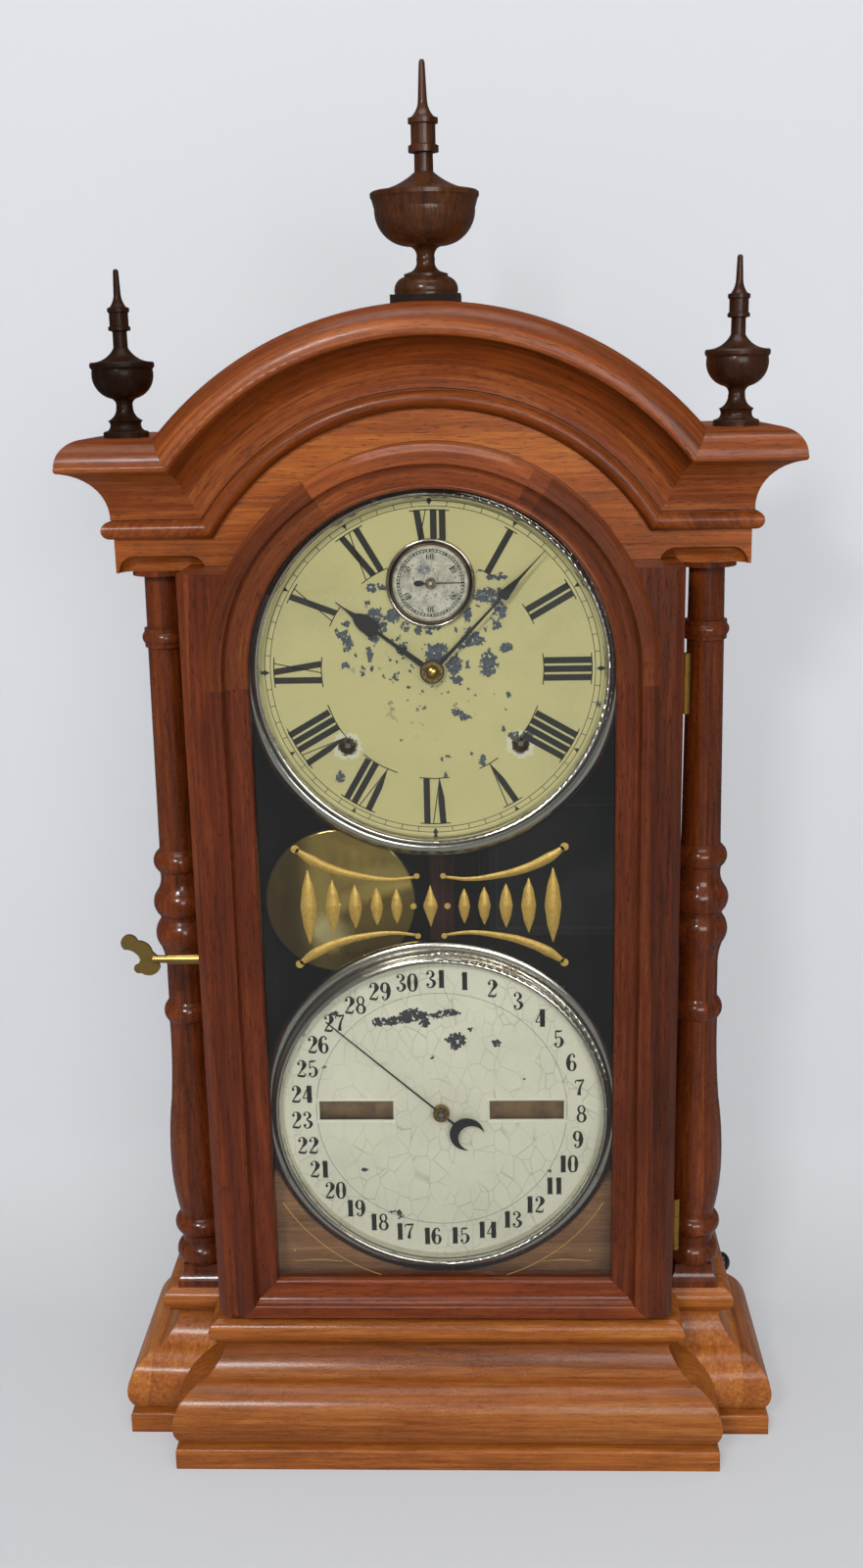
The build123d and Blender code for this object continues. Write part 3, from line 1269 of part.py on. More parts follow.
def roller(side, radius):
    """Printed roller behind a window, on its own arbor."""
    x = side * WINDOW_OFFSET
    y = roller_axis(radius)
    half = ROLLER_LENGTH / 2
    reach = half + ROLLER_CHEEK + 1.5
    body = rod_x(radius, x - half, x + half, y, calendar_z)
    arbor = rod_x(ROLLER_ARBOR_RADIUS, x - reach, x + reach, y, calendar_z)
    return body + arbor


def roller_cheeks(side, radius):
    """The pair of cheeks that carries one roller."""
    x = side * WINDOW_OFFSET
    y = roller_axis(radius)
    reach = ROLLER_LENGTH / 2 + 0.4
    z = calendar_z
    cheeks = []
    for low in (x - reach - ROLLER_CHEEK, x + reach):
        arm = block(low, low + ROLLER_CHEEK, y - 5, behind(FRAME_PLATE_DEPTH), z - 6, z + 6)
        cheeks.append(arm - rod_x(ROLLER_ARBOR_RADIUS + PIN_CLEARANCE, low - 1, low + ROLLER_CHEEK + 1, y, z))
    return cheeks[0] + cheeks[1]


def make_calendar_works():
    board_y = behind(CALENDAR_BOARD_DEPTH)
    board_back = board_y + CALENDAR_BOARD_THICKNESS
    board_top = floor_top_z + CALENDAR_BOARD_HEIGHT
    keep("calendar_board", block(-box_inner_half, box_inner_half, board_y, board_back, floor_top_z, board_top))
    keep("day_roller", roller(-1, DAY_ROLLER_RADIUS))
    keep("month_roller", roller(1, MONTH_ROLLER_RADIUS))
    plate_y = behind(FRAME_PLATE_DEPTH)
    top = calendar_z + FRAME_TOP_RISE
    low = top - FRAME_HEIGHT
    plate_back_y = plate_y + FRAME_PLATE_THICKNESS
    sheet = block(-FRAME_HALF_WIDTH, FRAME_HALF_WIDTH, plate_y, plate_back_y, low, top)
    sheet = sheet - rod_y(DATE_ARBOR_RADIUS + PIN_CLEARANCE, 0, plate_y - 1, plate_back_y + 1, calendar_z)
    frame = sheet + roller_cheeks(-1, DAY_ROLLER_RADIUS) + roller_cheeks(1, MONTH_ROLLER_RADIUS)
    foot_x = FRAME_HALF_WIDTH - FRAME_FOOT_INSET
    foot_z = low + FRAME_FOOT_LIFT
    foot = block(foot_x - FRAME_FOOT_WIDTH, foot_x, board_back, plate_y, foot_z, foot_z + FRAME_FOOT_WIDTH)
    frame = frame + foot + mirrored(foot)
    keep("calendar_frame", frame)


# Small pieces

def make_small_pieces():
    card_x = box_inner_half - CARD_SIDE_GAP
    card_top = ARCH_CENTRE_Z - CARD_DROP
    card_y = back_board_y - CARD_THICKNESS
    card_bottom = card_top - CARD_HEIGHT
    keep("label_card", block(card_x - CARD_WIDTH, card_x, card_y, back_board_y, card_bottom, card_top))
    half = BATTEN_WIDTH / 2
    batten_top = ARCH_CENTRE_Z - BATTEN_DROP
    batten_y = back_board_y - BATTEN_THICKNESS
    keep("back_batten", block(-half, half, batten_y, back_board_y, batten_top - BATTEN_LENGTH, batten_top))
    make_knob()


def make_knob():
    """Domed knob low on the right side, on a stem that slides in the base moulding."""
    y = behind(KNOB_DEPTH)
    low = base_half - TOP_BOARD_INSET + RUNNING_GAP + 0.2
    stem = rod_x(KNOB_STEM_RADIUS, low - KNOB_STEM_LENGTH, low + 1, y, knob_z)
    shoulder = KNOB_LENGTH * 0.35
    profile = [(0, 0), (KNOB_RADIUS - 0.5, 0), (KNOB_RADIUS, 0.5), (KNOB_RADIUS, shoulder)]
    profile = profile + dome(KNOB_RADIUS, shoulder, KNOB_LENGTH)
    face = outline(profile, lambda r, h: (low + h, y + r, knob_z))
    head = revolve(face, axis=Axis((low, y, knob_z), (1, 0, 0)))
    keep("side_knob", stem + head)


def main():
    make_base()
    make_pedestals()
    make_columns()
    make_box()
    make_back_board()
    make_cornice()
    make_roof()
    make_frieze()
    make_finials()
    make_door_frame()
    make_glazing()
    make_hinges()
    make_latch()
    make_time_dial()
    make_calendar_dial()
    make_hour_hand()
    make_minute_hand()
    make_seconds_hand()
    make_date_hand()
    make_movement()
    make_centre_arbor()
    make_escapement()
    make_winding_arbors()
    make_pendulum()
    make_strike()
    make_calendar_works()
    make_small_pieces()
    os.makedirs("parts", exist_ok=True)
    for name, shape in PARTS.items():
        export_step(shape, f"parts/{name}.step")


main()
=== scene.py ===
"""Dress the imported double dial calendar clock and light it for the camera.

Everything is in metres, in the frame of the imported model: X runs across the front, +Y to the back and +Z up,
with the origin under the middle of the base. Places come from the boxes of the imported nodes.
"""

from __future__ import annotations

import logging
import math
from collections.abc import Iterable, Mapping, Sequence
from dataclasses import dataclass, field, replace
from enum import Enum

import bmesh
import bpy
from mathutils import Matrix, Vector


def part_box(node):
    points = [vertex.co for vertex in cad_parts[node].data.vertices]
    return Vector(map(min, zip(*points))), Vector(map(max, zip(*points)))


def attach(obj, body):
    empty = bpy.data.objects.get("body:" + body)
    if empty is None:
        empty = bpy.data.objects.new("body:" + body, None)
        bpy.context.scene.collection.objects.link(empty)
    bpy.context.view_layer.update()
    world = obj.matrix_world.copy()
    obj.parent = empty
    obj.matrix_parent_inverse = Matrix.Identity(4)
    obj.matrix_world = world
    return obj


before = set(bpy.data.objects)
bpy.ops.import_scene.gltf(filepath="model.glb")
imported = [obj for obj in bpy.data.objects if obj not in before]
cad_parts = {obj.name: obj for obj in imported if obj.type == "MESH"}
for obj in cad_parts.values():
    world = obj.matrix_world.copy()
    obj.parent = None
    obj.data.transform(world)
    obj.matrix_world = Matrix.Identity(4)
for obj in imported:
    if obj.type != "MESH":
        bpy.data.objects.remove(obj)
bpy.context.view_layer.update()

log = logging.getLogger("clock")

MM = 0.001
Colour = tuple[float, float, float, float]
PenPoint = tuple[float, float, float]
BMesh = bmesh.types.BMesh
Material = bpy.types.Material
Socket = bpy.types.NodeSocket


def seen(text: str) -> Colour:
    """Turn a colour as it is seen, written as six hex digits, into linear light.

    Args:
        text: The colour, such as "8A4A1E".

    Returns:
        Linear red, green and blue, and an alpha of 1.
    """
    parts = [int(text[i:i + 2], 16) / 255 for i in (0, 2, 4)]
    light = [c / 12.92 if c <= 0.04045 else ((c + 0.055) / 1.055) ** 2.4 for c in parts]
    return (*light, 1.0)


class Amount:
    """A number inside a shader. Arithmetic on it adds Math nodes."""

    def __init__(self, shader: Shader, socket: Socket) -> None:
        """Wrap one output socket."""
        self.shader = shader
        self.socket = socket

    def combined(self, operation: str, *others: Amount | float, first: bool = True) -> Amount:
        """Join this number to others in one Math node.

        Args:
            operation: The Math node's operation.
            others: The other operands.
            first: Whether this number is the first operand.

        Returns:
            The node's result.
        """
        operands = dict(enumerate([self, *others] if first else [*others, self]))
        node = self.shader.node("ShaderNodeMath", {"operation": operation}, operands)
        return Amount(self.shader, node.outputs[0])

    def __add__(self, other: Amount | float) -> Amount:
        """Sum."""
        return self.combined("ADD", other)

    __radd__ = __add__

    def __sub__(self, other: Amount | float) -> Amount:
        """Difference."""
        return self.combined("SUBTRACT", other)

    def __rsub__(self, other: float) -> Amount:
        """Difference the other way round."""
        return self.combined("SUBTRACT", other, first=False)

    def __mul__(self, other: Amount | float) -> Amount:
        """Product."""
        return self.combined("MULTIPLY", other)

    __rmul__ = __mul__

    def __truediv__(self, other: Amount | float) -> Amount:
        """Quotient."""
        return self.combined("DIVIDE", other)

    def __gt__(self, other: Amount | float) -> Amount:
        """One where this is greater, and zero elsewhere."""
        return self.combined("GREATER_THAN", other)

    def __lt__(self, other: Amount | float) -> Amount:
        """One where this is less, and zero elsewhere."""
        return self.combined("LESS_THAN", other)

    def __abs__(self) -> Amount:
        """Size without sign."""
        return self.combined("ABSOLUTE")

    def most(self, other: Amount | float) -> Amount:
        """The greater of the two."""
        return self.combined("MAXIMUM", other)

    def least(self, other: Amount | float) -> Amount:
        """The smaller of the two."""
        return self.combined("MINIMUM", other)

    def rise(self, low: float, high: float, start: float = 0.0, end: float = 1.0) -> Amount:
        """Smooth step between two levels.

        Args:
            low: Where the step begins.
            high: Where it is complete.
            start: Result at and before low.
            end: Result at and after high.

        Returns:
            The stepped amount.
        """
        node = self.shader.node(
            "ShaderNodeMapRange",
            {"interpolation_type": "SMOOTHSTEP"},
            {"Value": self, "From Min": low, "From Max": high, "To Min": start, "To Max": end},
        )
        return Amount(self.shader, node.outputs["Result"])


class Shader:
    """The node tree of one material, built by expressions."""

    def __init__(self, name: str) -> None:
        """Start an empty material."""
        self.material = bpy.data.materials.new(name)
        self.material.use_nodes = True
        self.tree = self.material.node_tree
        self.tree.nodes.clear()
        self.output = self.tree.nodes.new("ShaderNodeOutputMaterial")

    def node(
        self,
        kind: str,
        settings: Mapping[str, object] | None = None,
        inputs: Mapping[str | int, object] | None = None,
    ) -> bpy.types.Node:
        """Add a node.

        Args:
            kind: The node's type.
            settings: Its properties, set first; "stops" holds a ramp's (place, colour) pairs.
            inputs: Its sockets by name or number, each a plain value, an Amount or an output socket.

        Returns:
            The new node.
        """
        made = self.tree.nodes.new(kind)
        for key, value in (settings or {}).items():
            if key == "stops":
                self.set_stops(made.color_ramp, value)
            else:
                setattr(made, key, value)
        for key, value in (inputs or {}).items():
            socket = made.inputs[key]
            if isinstance(value, Amount):
                value = value.socket
            if isinstance(value, Socket):
                self.tree.links.new(value, socket)
            else:
                socket.default_value = value
        return made

    @staticmethod
    def set_stops(ramp: bpy.types.ColorRamp, stops: Sequence[tuple[float, Colour]]) -> None:
        """Give a colour ramp its stops, in rising order."""
        while len(ramp.elements) > 1:
            ramp.elements.remove(ramp.elements[-1])
        ramp.elements[0].position, ramp.elements[0].color = stops[0]
        for place, colour in stops[1:]:
            ramp.elements.new(place).color = colour

    def amount(
        self,
        kind: str,
        output: str | int,
        settings: Mapping[str, object] | None = None,
        inputs: Mapping[str | int, object] | None = None,
    ) -> Amount:
        """Add a node and wrap one of its outputs as a number."""
        return Amount(self, self.node(kind, settings, inputs).outputs[output])

    def place(self) -> Socket:
        """Position on the object, which is the position in the clock's frame."""
        return self.node("ShaderNodeTexCoord").outputs["Object"]

    def axes(self, vector: Socket) -> tuple[Amount, Amount, Amount]:
        """Split a vector into its three numbers."""
        split = self.node("ShaderNodeSeparateXYZ", inputs={0: vector})
        return tuple(Amount(self, split.outputs[i]) for i in range(3))

    def joined(self, x: Amount | float, y: Amount | float, z: Amount | float) -> Socket:
        """Join three numbers into a vector."""
        return self.node("ShaderNodeCombineXYZ", inputs={0: x, 1: y, 2: z}).outputs[0]

    def moved(self, vector: Socket, offset: Vector, scale: Sequence[float]) -> Socket:
        """Centre a vector on a point and then scale it along each axis."""
        shifted = self.node(
            "ShaderNodeVectorMath", {"operation": "SUBTRACT"}, {0: vector, 1: tuple(offset)}
        )
        return self.node(
            "ShaderNodeVectorMath", {"operation": "MULTIPLY"}, {0: shifted.outputs[0], 1: tuple(scale)}
        ).outputs[0]

    def length(self, vector: Socket) -> Amount:
        """Length of a vector."""
        return self.amount("ShaderNodeVectorMath", "Value", {"operation": "LENGTH"}, {0: vector})

    def noise(self, vector: Socket, scale: float, detail: float, roughness: float) -> Amount:
        """Cloudy noise between about 0.2 and 0.8."""
        values = {"Vector": vector, "Scale": scale, "Detail": detail, "Roughness": roughness}
        return self.amount("ShaderNodeTexNoise", "Fac", None, values)

    def cracks(self, vector: Socket, scale: float) -> Amount:
        """Distance to the nearest crack of a crazed surface, in cell units."""
        values = {"Vector": vector, "Scale": scale}
        return self.amount("ShaderNodeTexVoronoi", "Distance", {"feature": "DISTANCE_TO_EDGE"}, values)

    def chipped(self, vector: Socket, scale: float, share: float) -> Socket:
        """Position pulled towards the middle of its cell, which breaks smooth outlines into chips.

        Args:
            vector: The position.
            scale: Cells per metre.
            share: How far it is pulled, from 0 to 1.

        Returns:
            The pulled position.
        """
        cell = self.node("ShaderNodeTexVoronoi", {"feature": "F1"}, {"Vector": vector, "Scale": scale})
        values = {0: share, 4: vector, 5: cell.outputs["Position"]}
        return self.node("ShaderNodeMix", {"data_type": "VECTOR"}, values).outputs[1]

    def ramp(self, factor: Amount, stops: Sequence[tuple[float, Colour]]) -> Socket:
        """Colour that runs through the stops as the factor rises."""
        return self.node("ShaderNodeValToRGB", {"stops": stops}, {"Fac": factor}).outputs["Color"]

    def mix(self, factor: Amount | float, first: Socket | Colour, second: Socket | Colour) -> Socket:
        """Blend two colours."""
        values = {0: factor, 6: first, 7: second}
        return self.node("ShaderNodeMix", {"data_type": "RGBA"}, values).outputs[2]

    def bump(self, height: Amount, depth: float) -> Socket:
        """Normal of a surface whose height runs from 0 to 1 over a depth in metres."""
        values = {"Height": height, "Distance": depth, "Strength": 1.0}
        return self.node("ShaderNodeBump", None, values).outputs["Normal"]

    def crevice(self, reach: float) -> Amount:
        """How open the surface is within a reach: 0 deep in a groove and 1 on open ground."""
        settings = {"samples": 4, "only_local": True}
        return self.amount("ShaderNodeAmbientOcclusion", "AO", settings, {"Distance": reach})

    def finished(self, **sockets: object) -> Material:
        """Close the material with a Principled shader.

        Args:
            sockets: Its sockets, with spaces written as underscores.

        Returns:
            The finished material.
        """
        inputs = {key.replace("_", " "): value for key, value in sockets.items()}
        surface = self.node("ShaderNodeBsdfPrincipled", None, inputs)
        self.tree.links.new(surface.outputs[0], self.output.inputs["Surface"])
        return self.material


class Grain(Enum):
    """Which way the grain of a wooden piece runs."""

    ACROSS = "along X"
    UPRIGHT = "along Z"
    DEEP = "along Y"
    BENT = "round the arch"
    THREE_LENGTHS = "along each of the three lengths of the door's arch"


@dataclass(frozen=True)
class ArchPlan:
    """The circle that the door, the box and the hood share.

    The seams of the door's arch are in degrees from straight up. The shifts are how far, in metres, the pattern of
    each of its three lengths lies from its neighbour's, across the grain and along it.
    """

    centre_z: float
    left_seam: float = -32.0
    right_seam: float = 27.0
    hood_radius: float = 0.17
    door_radius: float = 0.12
    shift_across: float = 0.3
    shift_along: float = 0.2

    def angle(self, x: Amount, z: Amount) -> Amount:
        """Angle from straight up, in radians, rising to the right."""
        return x.combined("ARCTAN2", z - self.centre_z)


@dataclass(frozen=True)
class Wood:
    """Old walnut under varnish.

    The bands are growth rings per metre across the grain, wander is how far they stray, pores and craze are
    strengths from 0 to 1, and the groove strength is how much darker the grooves are, for dark old varnish and painted
    shade.
    """

    name: str
    dark: str
    middle: str
    light: str
    grain: Grain
    bands: float = 55.0
    wander: float = 5.0
    pores: float = 0.5
    craze: float = 0.0
    dirt: float = 0.55
    roughness: float = 0.3
    coat: float = 0.6
    coat_roughness: float = 0.12
    dents: float = 0.0
    shine: float = 0.2

    def space(self, shader: Shader, arch: ArchPlan) -> Socket:
        """Vector whose third number runs along the grain, squeezed so that patterns stretch that way."""
        squeeze = 0.045
        place = shader.place()
        x, y, z = shader.axes(place)
        match self.grain:
            case Grain.ACROSS:
                return shader.joined(z, y, x * squeeze)
            case Grain.UPRIGHT:
                return shader.joined(x, y, z * squeeze)
            case Grain.DEEP:
                return shader.joined(x, z, y * squeeze)
            case Grain.BENT:
                radius = shader.length(shader.joined(x, 0.0, z - arch.centre_z))
                return shader.joined(radius, y, arch.angle(x, z) * (arch.hood_radius * squeeze))
            case Grain.THREE_LENGTHS:
                angle = arch.angle(x, z)
                past_right = angle > math.radians(arch.right_seam)
                length = past_right - (angle < math.radians(arch.left_seam))
                radius = shader.length(shader.joined(x, 0.0, z - arch.centre_z))
                along = angle * (arch.door_radius * squeeze) + length * arch.shift_along
                return shader.joined(radius + length * arch.shift_across, y, along)

    def make(self, arch: ArchPlan) -> Material:
        """Build the material."""
        shader = Shader(self.name)
        space = self.space(shader, arch)
        place = shader.place()
        wave = shader.amount(
            "ShaderNodeTexWave",
            "Fac",
            {"wave_type": "BANDS", "bands_direction": "X", "wave_profile": "SAW"},
            {
                "Vector": space,
                "Scale": self.bands / 6.0,
                "Distortion": self.wander,
                "Detail": 2.0,
                "Detail Scale": 1.4,
                "Detail Roughness": 0.6,
            },
        )
        streaks = shader.noise(space, 420.0, detail=4.0, roughness=0.65)
        drift = shader.noise(space, 34.0, detail=2.0, roughness=0.5)
        blotch = shader.noise(place, 14.0, detail=3.0, roughness=0.6)
        tone = wave * 0.16 + streaks * 0.85 + drift * 0.5 + blotch * 0.3 - 0.445
        colour = shader.ramp(
            tone, [(0.12, seen(self.dark)), (0.5, seen(self.middle)), (0.86, seen(self.light))]
        )
        pore_space = shader.node(
            "ShaderNodeVectorMath", {"operation": "MULTIPLY"}, {0: space, 1: (1.0, 1.0, 2.4)}
        ).outputs[0]
        pores = shader.noise(pore_space, 1500.0, detail=2.0, roughness=0.5).rise(0.57, 0.68) * self.pores
        deep = seen(self.dark)
        colour = shader.mix(pores, colour, (deep[0] * 0.35, deep[1] * 0.35, deep[2] * 0.35, 1.0))
        # Painted shade, with dark old varnish: the grooves that the occlusion finds are darkened.
        open_ground = shader.crevice(0.012)
        groove_darkening = (1.0 - open_ground.rise(0.25, 0.95)) * self.dirt
        colour = shader.mix(groove_darkening, colour, (deep[0] * 0.25, deep[1] * 0.22, deep[2] * 0.2, 1.0))
        if self.grain is Grain.THREE_LENGTHS:
            x, _, z = shader.axes(place)
            foot = abs(arch.angle(x, z)) > math.radians(-arch.left_seam)
            colour = shader.mix(foot * 0.42, colour, (deep[0] * 0.8, deep[1] * 0.7, deep[2] * 0.7, 1.0))
        skin = shader.noise(place, 160.0, detail=3.0, roughness=0.6)
        height = skin * 0.5 + (1.0 - pores) * 0.35
        if self.craze:
            web = shader.cracks(shader.moved(place, Vector((0, 0, 0)), (1.0, 1.0, 1.6)), 420.0)
            height = height + web.rise(0.0, 0.1) * (self.craze * 0.8)
        if self.dents:
            dent = shader.noise(place, 95.0, detail=1.0, roughness=0.4).rise(0.62, 0.74)
            height = height - dent * (self.dents * 3.0)
        rough = skin * 0.24 + (self.roughness - 0.12) + groove_darkening * 0.25
        return shader.finished(
            Base_Color=colour,
            Roughness=rough,
            Specular_IOR_Level=self.shine,
            Coat_Weight=self.coat,
            Coat_Roughness=self.coat_roughness,
            Normal=shader.bump(height, 0.00022),
        )


@dataclass(frozen=True)
class Metal:
    """Polished metal with tarnish in patches."""

    name: str
    bright: str
    tarnish: str
    spread: float = 0.35
    roughness: float = 0.14
    scratch: float = 0.3
    groove_dirt: float = 0.5
    body: float = 1.0
    roll: tuple[float, float, float] | None = None
    roll_rise: float = 0.45
    axis: tuple[float, float, float] | None = None
    bright_patch: tuple[float, float, float] | None = None

    def make(self) -> Material:
        """Build the material.

        A roll is (centre z, radius, half width) of a band that looks rounded; an axis is (x, z, radius) of a bare
        steel arbor in the middle of the piece; a painted reflection is (x, z, radius) of a pale patch painted where the
        polish would mirror a bright place.

        Returns:
            The material.
        """
        shader = Shader(self.name)
        place = shader.place()
        x, _, z = shader.axes(place)
        cloud = shader.noise(place, 60.0, detail=5.0, roughness=0.7)
        spots = shader.noise(place, 700.0, detail=3.0, roughness=0.6).rise(0.6, 0.72)
        patches = cloud.rise(0.62 - self.spread * 0.3, 0.75) * 0.7 + spots * 0.35
        colour = shader.mix(patches.least(1.0), seen(self.bright), seen(self.tarnish))
        # Painted shade: the grooves that the occlusion finds are darkened.
        groove_darkening = (1.0 - shader.crevice(0.004).rise(0.3, 0.95)) * self.groove_dirt
        colour = shader.mix(groove_darkening, colour, seen("2A2019"))
        body = self.body
        # Painted reflection: a pale, less metallic patch where the polished face would mirror the bright floor.
        if self.bright_patch:
            reflection_x, reflection_z, reflection_radius = self.bright_patch
            stray = (cloud - 0.5) * (reflection_radius * 0.8)
            reach = shader.length(shader.joined(x - reflection_x, 0.0, z - reflection_z)) + stray
            reflection_share = reach.rise(reflection_radius, reflection_radius * 0.3)
            colour = shader.mix(reflection_share * 0.8, colour, seen("FFF0B4"))
            body = self.body - reflection_share * 0.4
        if self.axis:
            axis_x, axis_z, pin = self.axis
            reach = shader.length(shader.joined(x - axis_x, 0.0, z - axis_z))
            # Painted shade: a near-black ring round the arbor, for the shade of the hole it comes through.
            colour = shader.mix(reach.rise(pin * 3, pin * 5, 0.85, 0.0), colour, seen("14100C"))
            colour = shader.mix(reach < pin, colour, seen("B4B4B0"))
        fine = shader.noise(place, 2600.0, detail=2.0, roughness=0.5)
        rough = patches * 0.22 + fine * (self.scratch * 0.25) + self.roughness
        height = cloud * 0.00006 + fine * 0.000012
        if self.roll:
            centre_z, radius, half = self.roll
            across = (shader.length(shader.joined(x, 0.0, z - centre_z)) - radius) / half
            level = (1.0 - across * across).most(0.0)
            height = height + level * (half * self.roll_rise)
        return shader.finished(
            Base_Color=colour, Metallic=body, Roughness=rough, Normal=shader.bump(height, 1.0)
        )


@dataclass(frozen=True)
class Japan:
    """Black or dark paint on metal, slightly worn."""

    name: str
    colour: str
    worn: str
    roughness: float = 0.38
    boss: float = 0.0
    boss_colour: str = "B08E48"
    pin: float = 0.0

    def make(self, centre: Vector | None = None) -> Material:
        """Build the material; a bare metal boss and its pin lie round the centre, if one is given."""
        shader = Shader(self.name)
        place = shader.place()
        wear = shader.noise(place, 420.0, detail=4.0, roughness=0.65).rise(0.6, 0.78) * 0.5
        colour = shader.mix(wear, seen(self.colour), seen(self.worn))
        skin = shader.noise(place, 900.0, detail=2.0, roughness=0.5)
        metal = 0.0
        if centre is not None:
            reach = shader.length(shader.moved(place, centre, (1.0, 0.0, 1.0)))
            metal = reach < self.boss * MM
            bare = shader.mix(skin.rise(0.35, 0.7), seen(self.boss_colour), seen("5E4A2C"))
            bare = shader.mix(reach < self.pin * MM, bare, seen("C8C8C4"))
            colour = shader.mix(metal, colour, bare)
        return shader.finished(
            Base_Color=colour,
            Metallic=metal,
            Roughness=wear * 0.2 + skin * 0.1 + self.roughness,
            Coat_Weight=0.2,
            Coat_Roughness=0.2,
            Normal=shader.bump(skin, 0.00004),
        )


@dataclass(frozen=True)
class Flake:
    """One place where the paint has come off a dial: centre and half sizes in millimetres from its centre."""

    x: float
    z: float
    wide: float
    high: float


@dataclass(frozen=True)
class DialPaint:
    """Old paint on a dial, with the bare metal showing where it has flaked."""

    name: str
    paint: str
    stain: str
    bare: str
    flakes: tuple[Flake, ...]
    rings: tuple[Flake, ...] = ()
    dust: str = "D6D4C0"
    bare_light: str = "6A7480"
    crackle: float = 0.0
    speck_zone: float = 0.0
    roughness: float = 0.42

    @staticmethod
    def nearest(shader: Shader, place: Socket, centre: Vector, flakes: Sequence[Flake]) -> Amount:
        """Distance from the nearest of some flakes, which is 1 on its outline."""
        least = None
        for flake in flakes:
            middle = centre + Vector((flake.x, 0, flake.z)) * MM
            scale = (1 / (flake.wide * MM), 0.0, 1 / (flake.high * MM))
            reach = shader.length(shader.moved(place, middle, scale))
            least = reach if least is None else least.least(reach)
        return least

    def bare_mask(self, shader: Shader, place: Socket, centre: Vector) -> Amount:
        """One where the paint is gone, with ragged edges."""
        chips = shader.chipped(place, 820.0, 0.95)
        ragged = shader.noise(chips, 330.0, detail=4.0, roughness=0.75)
        edge = self.nearest(shader, chips, centre, self.flakes) + ragged * 1.9 - 0.95
        mask = edge.rise(0.96, 1.0, 1.0, 0.0)
        islands = shader.noise(shader.chipped(place, 1400.0, 0.8), 420.0, detail=2.0, roughness=0.5).rise(0.35, 0.39)
        mask = mask * islands
        if self.speck_zone:
            reach = shader.length(shader.moved(place, centre + Vector((0, 0, 14 * MM)), (1.0, 0.0, 1.0)))
            zone = reach.rise(self.speck_zone * MM, self.speck_zone * 0.45 * MM)
            specks = (shader.noise(chips, 150.0, detail=3.0, roughness=0.75) + zone * 0.05).rise(0.655, 0.67)
            mask = mask.most(specks * zone)
        return mask

    def make(self, centre: Vector) -> Material:
        """Build the material for a dial with this centre."""
        shader = Shader(self.name)
        place = shader.place()
        cloud = shader.noise(place, 22.0, detail=4.0, roughness=0.6)
        fine = shader.noise(place, 520.0, detail=3.0, roughness=0.6)
        colour = shader.mix(cloud.rise(0.35, 0.8) * 0.6, seen(self.paint), seen(self.stain))
        colour = shader.mix(fine.rise(0.4, 0.9) * 0.22, colour, seen(self.stain))
        dust = shader.noise(place, 800.0, detail=3.0, roughness=0.7).rise(0.6, 0.68) * cloud.rise(0.42, 0.62)
        colour = shader.mix(dust * 0.7, colour, seen(self.dust))
        height = fine * 0.3
        if self.crackle:
            web = shader.cracks(shader.moved(place, Vector((0, 0, 0)), (1.0, 1.0, 0.6)), 120.0)
            line = web.rise(0.0, 0.03, 1.0, 0.0) * shader.noise(place, 34.0, detail=2.0, roughness=0.5).rise(0.36, 0.58)
            colour = shader.mix(line * self.crackle, colour, seen("7A786E"))
            height = height - line * 0.5
        bare = self.bare_mask(shader, place, centre)
        if self.rings:
            chips = shader.chipped(place, 1300.0, 0.7)
            ragged = shader.noise(chips, 420.0, detail=3.0, roughness=0.7)
            ring = self.nearest(shader, chips, centre, self.rings) + ragged * 1.1 - 0.55
            colour = shader.mix(ring.rise(0.9, 1.05, 0.85, 0.0), colour, seen(self.dust))
            bare = bare.most(ring.rise(0.62, 0.66, 0.9, 0.0))
        worn = shader.noise(place, 900.0, detail=3.0, roughness=0.6)
        metal = shader.mix(worn.rise(0.42, 0.78), seen(self.bare), seen(self.bare_light))
        colour = shader.mix(bare, colour, metal)
        height = height + (1.0 - bare) * 1.4
        rough = fine * 0.12 + self.roughness + bare * 0.1
        return shader.finished(Base_Color=colour, Roughness=rough, Normal=shader.bump(height, 0.00012))


@dataclass(frozen=True)
class SecondsFace:
    """Silvered, speckled face inside a nickel rim with a brown groove."""

    name: str
    face_radius: float
    groove_inner: float
    groove_outer: float

    def make(self, centre: Vector) -> Material:
        """Build the material for a seconds dial with this centre."""
        shader = Shader(self.name)
        place = shader.place()
        radius = shader.length(shader.moved(place, centre, (1.0, 0.0, 1.0)))
        face = radius.rise(self.face_radius, self.face_radius + 0.2 * MM, 1.0, 0.0)
        groove = (radius > self.groove_inner) * (radius < self.groove_outer)
        grit = shader.noise(place, 900.0, detail=4.0, roughness=0.75)
        specks = grit.rise(0.56, 0.61)
        pale = shader.mix(shader.noise(place, 160.0, detail=3.0, roughness=0.6).rise(0.3, 0.7), seen("CFCCBE"), seen("A5A296"))
        silver = shader.mix(specks * 0.8, pale, seen("4A4844"))
        patch = shader.moved(place, centre + Vector((-3.5, 0, 7.5)) * MM, (220.0, 0.0, 320.0))
        worn = (shader.length(patch) + grit * 2.4 - 1.2).rise(0.8, 1.0, 1.0, 0.0) * grit.rise(0.42, 0.5)
        silver = shader.mix(worn * 0.85, silver, seen("5A6678"))
        nickel = shader.mix(shader.noise(place, 90.0, detail=3.0, roughness=0.6).rise(0.4, 0.8), seen("D8D6D0"), seen("A39A88"))
        rim = shader.mix(groove, nickel, seen("54402E"))
        colour = shader.mix(face, rim, silver)
        rough = face * 0.3 + groove * 0.15 + 0.16
        metallic = 1.0 - face * 0.9
        height = grit * face
        return shader.finished(
            Base_Color=colour, Metallic=metallic, Roughness=rough, Normal=shader.bump(height, 0.0001)
        )


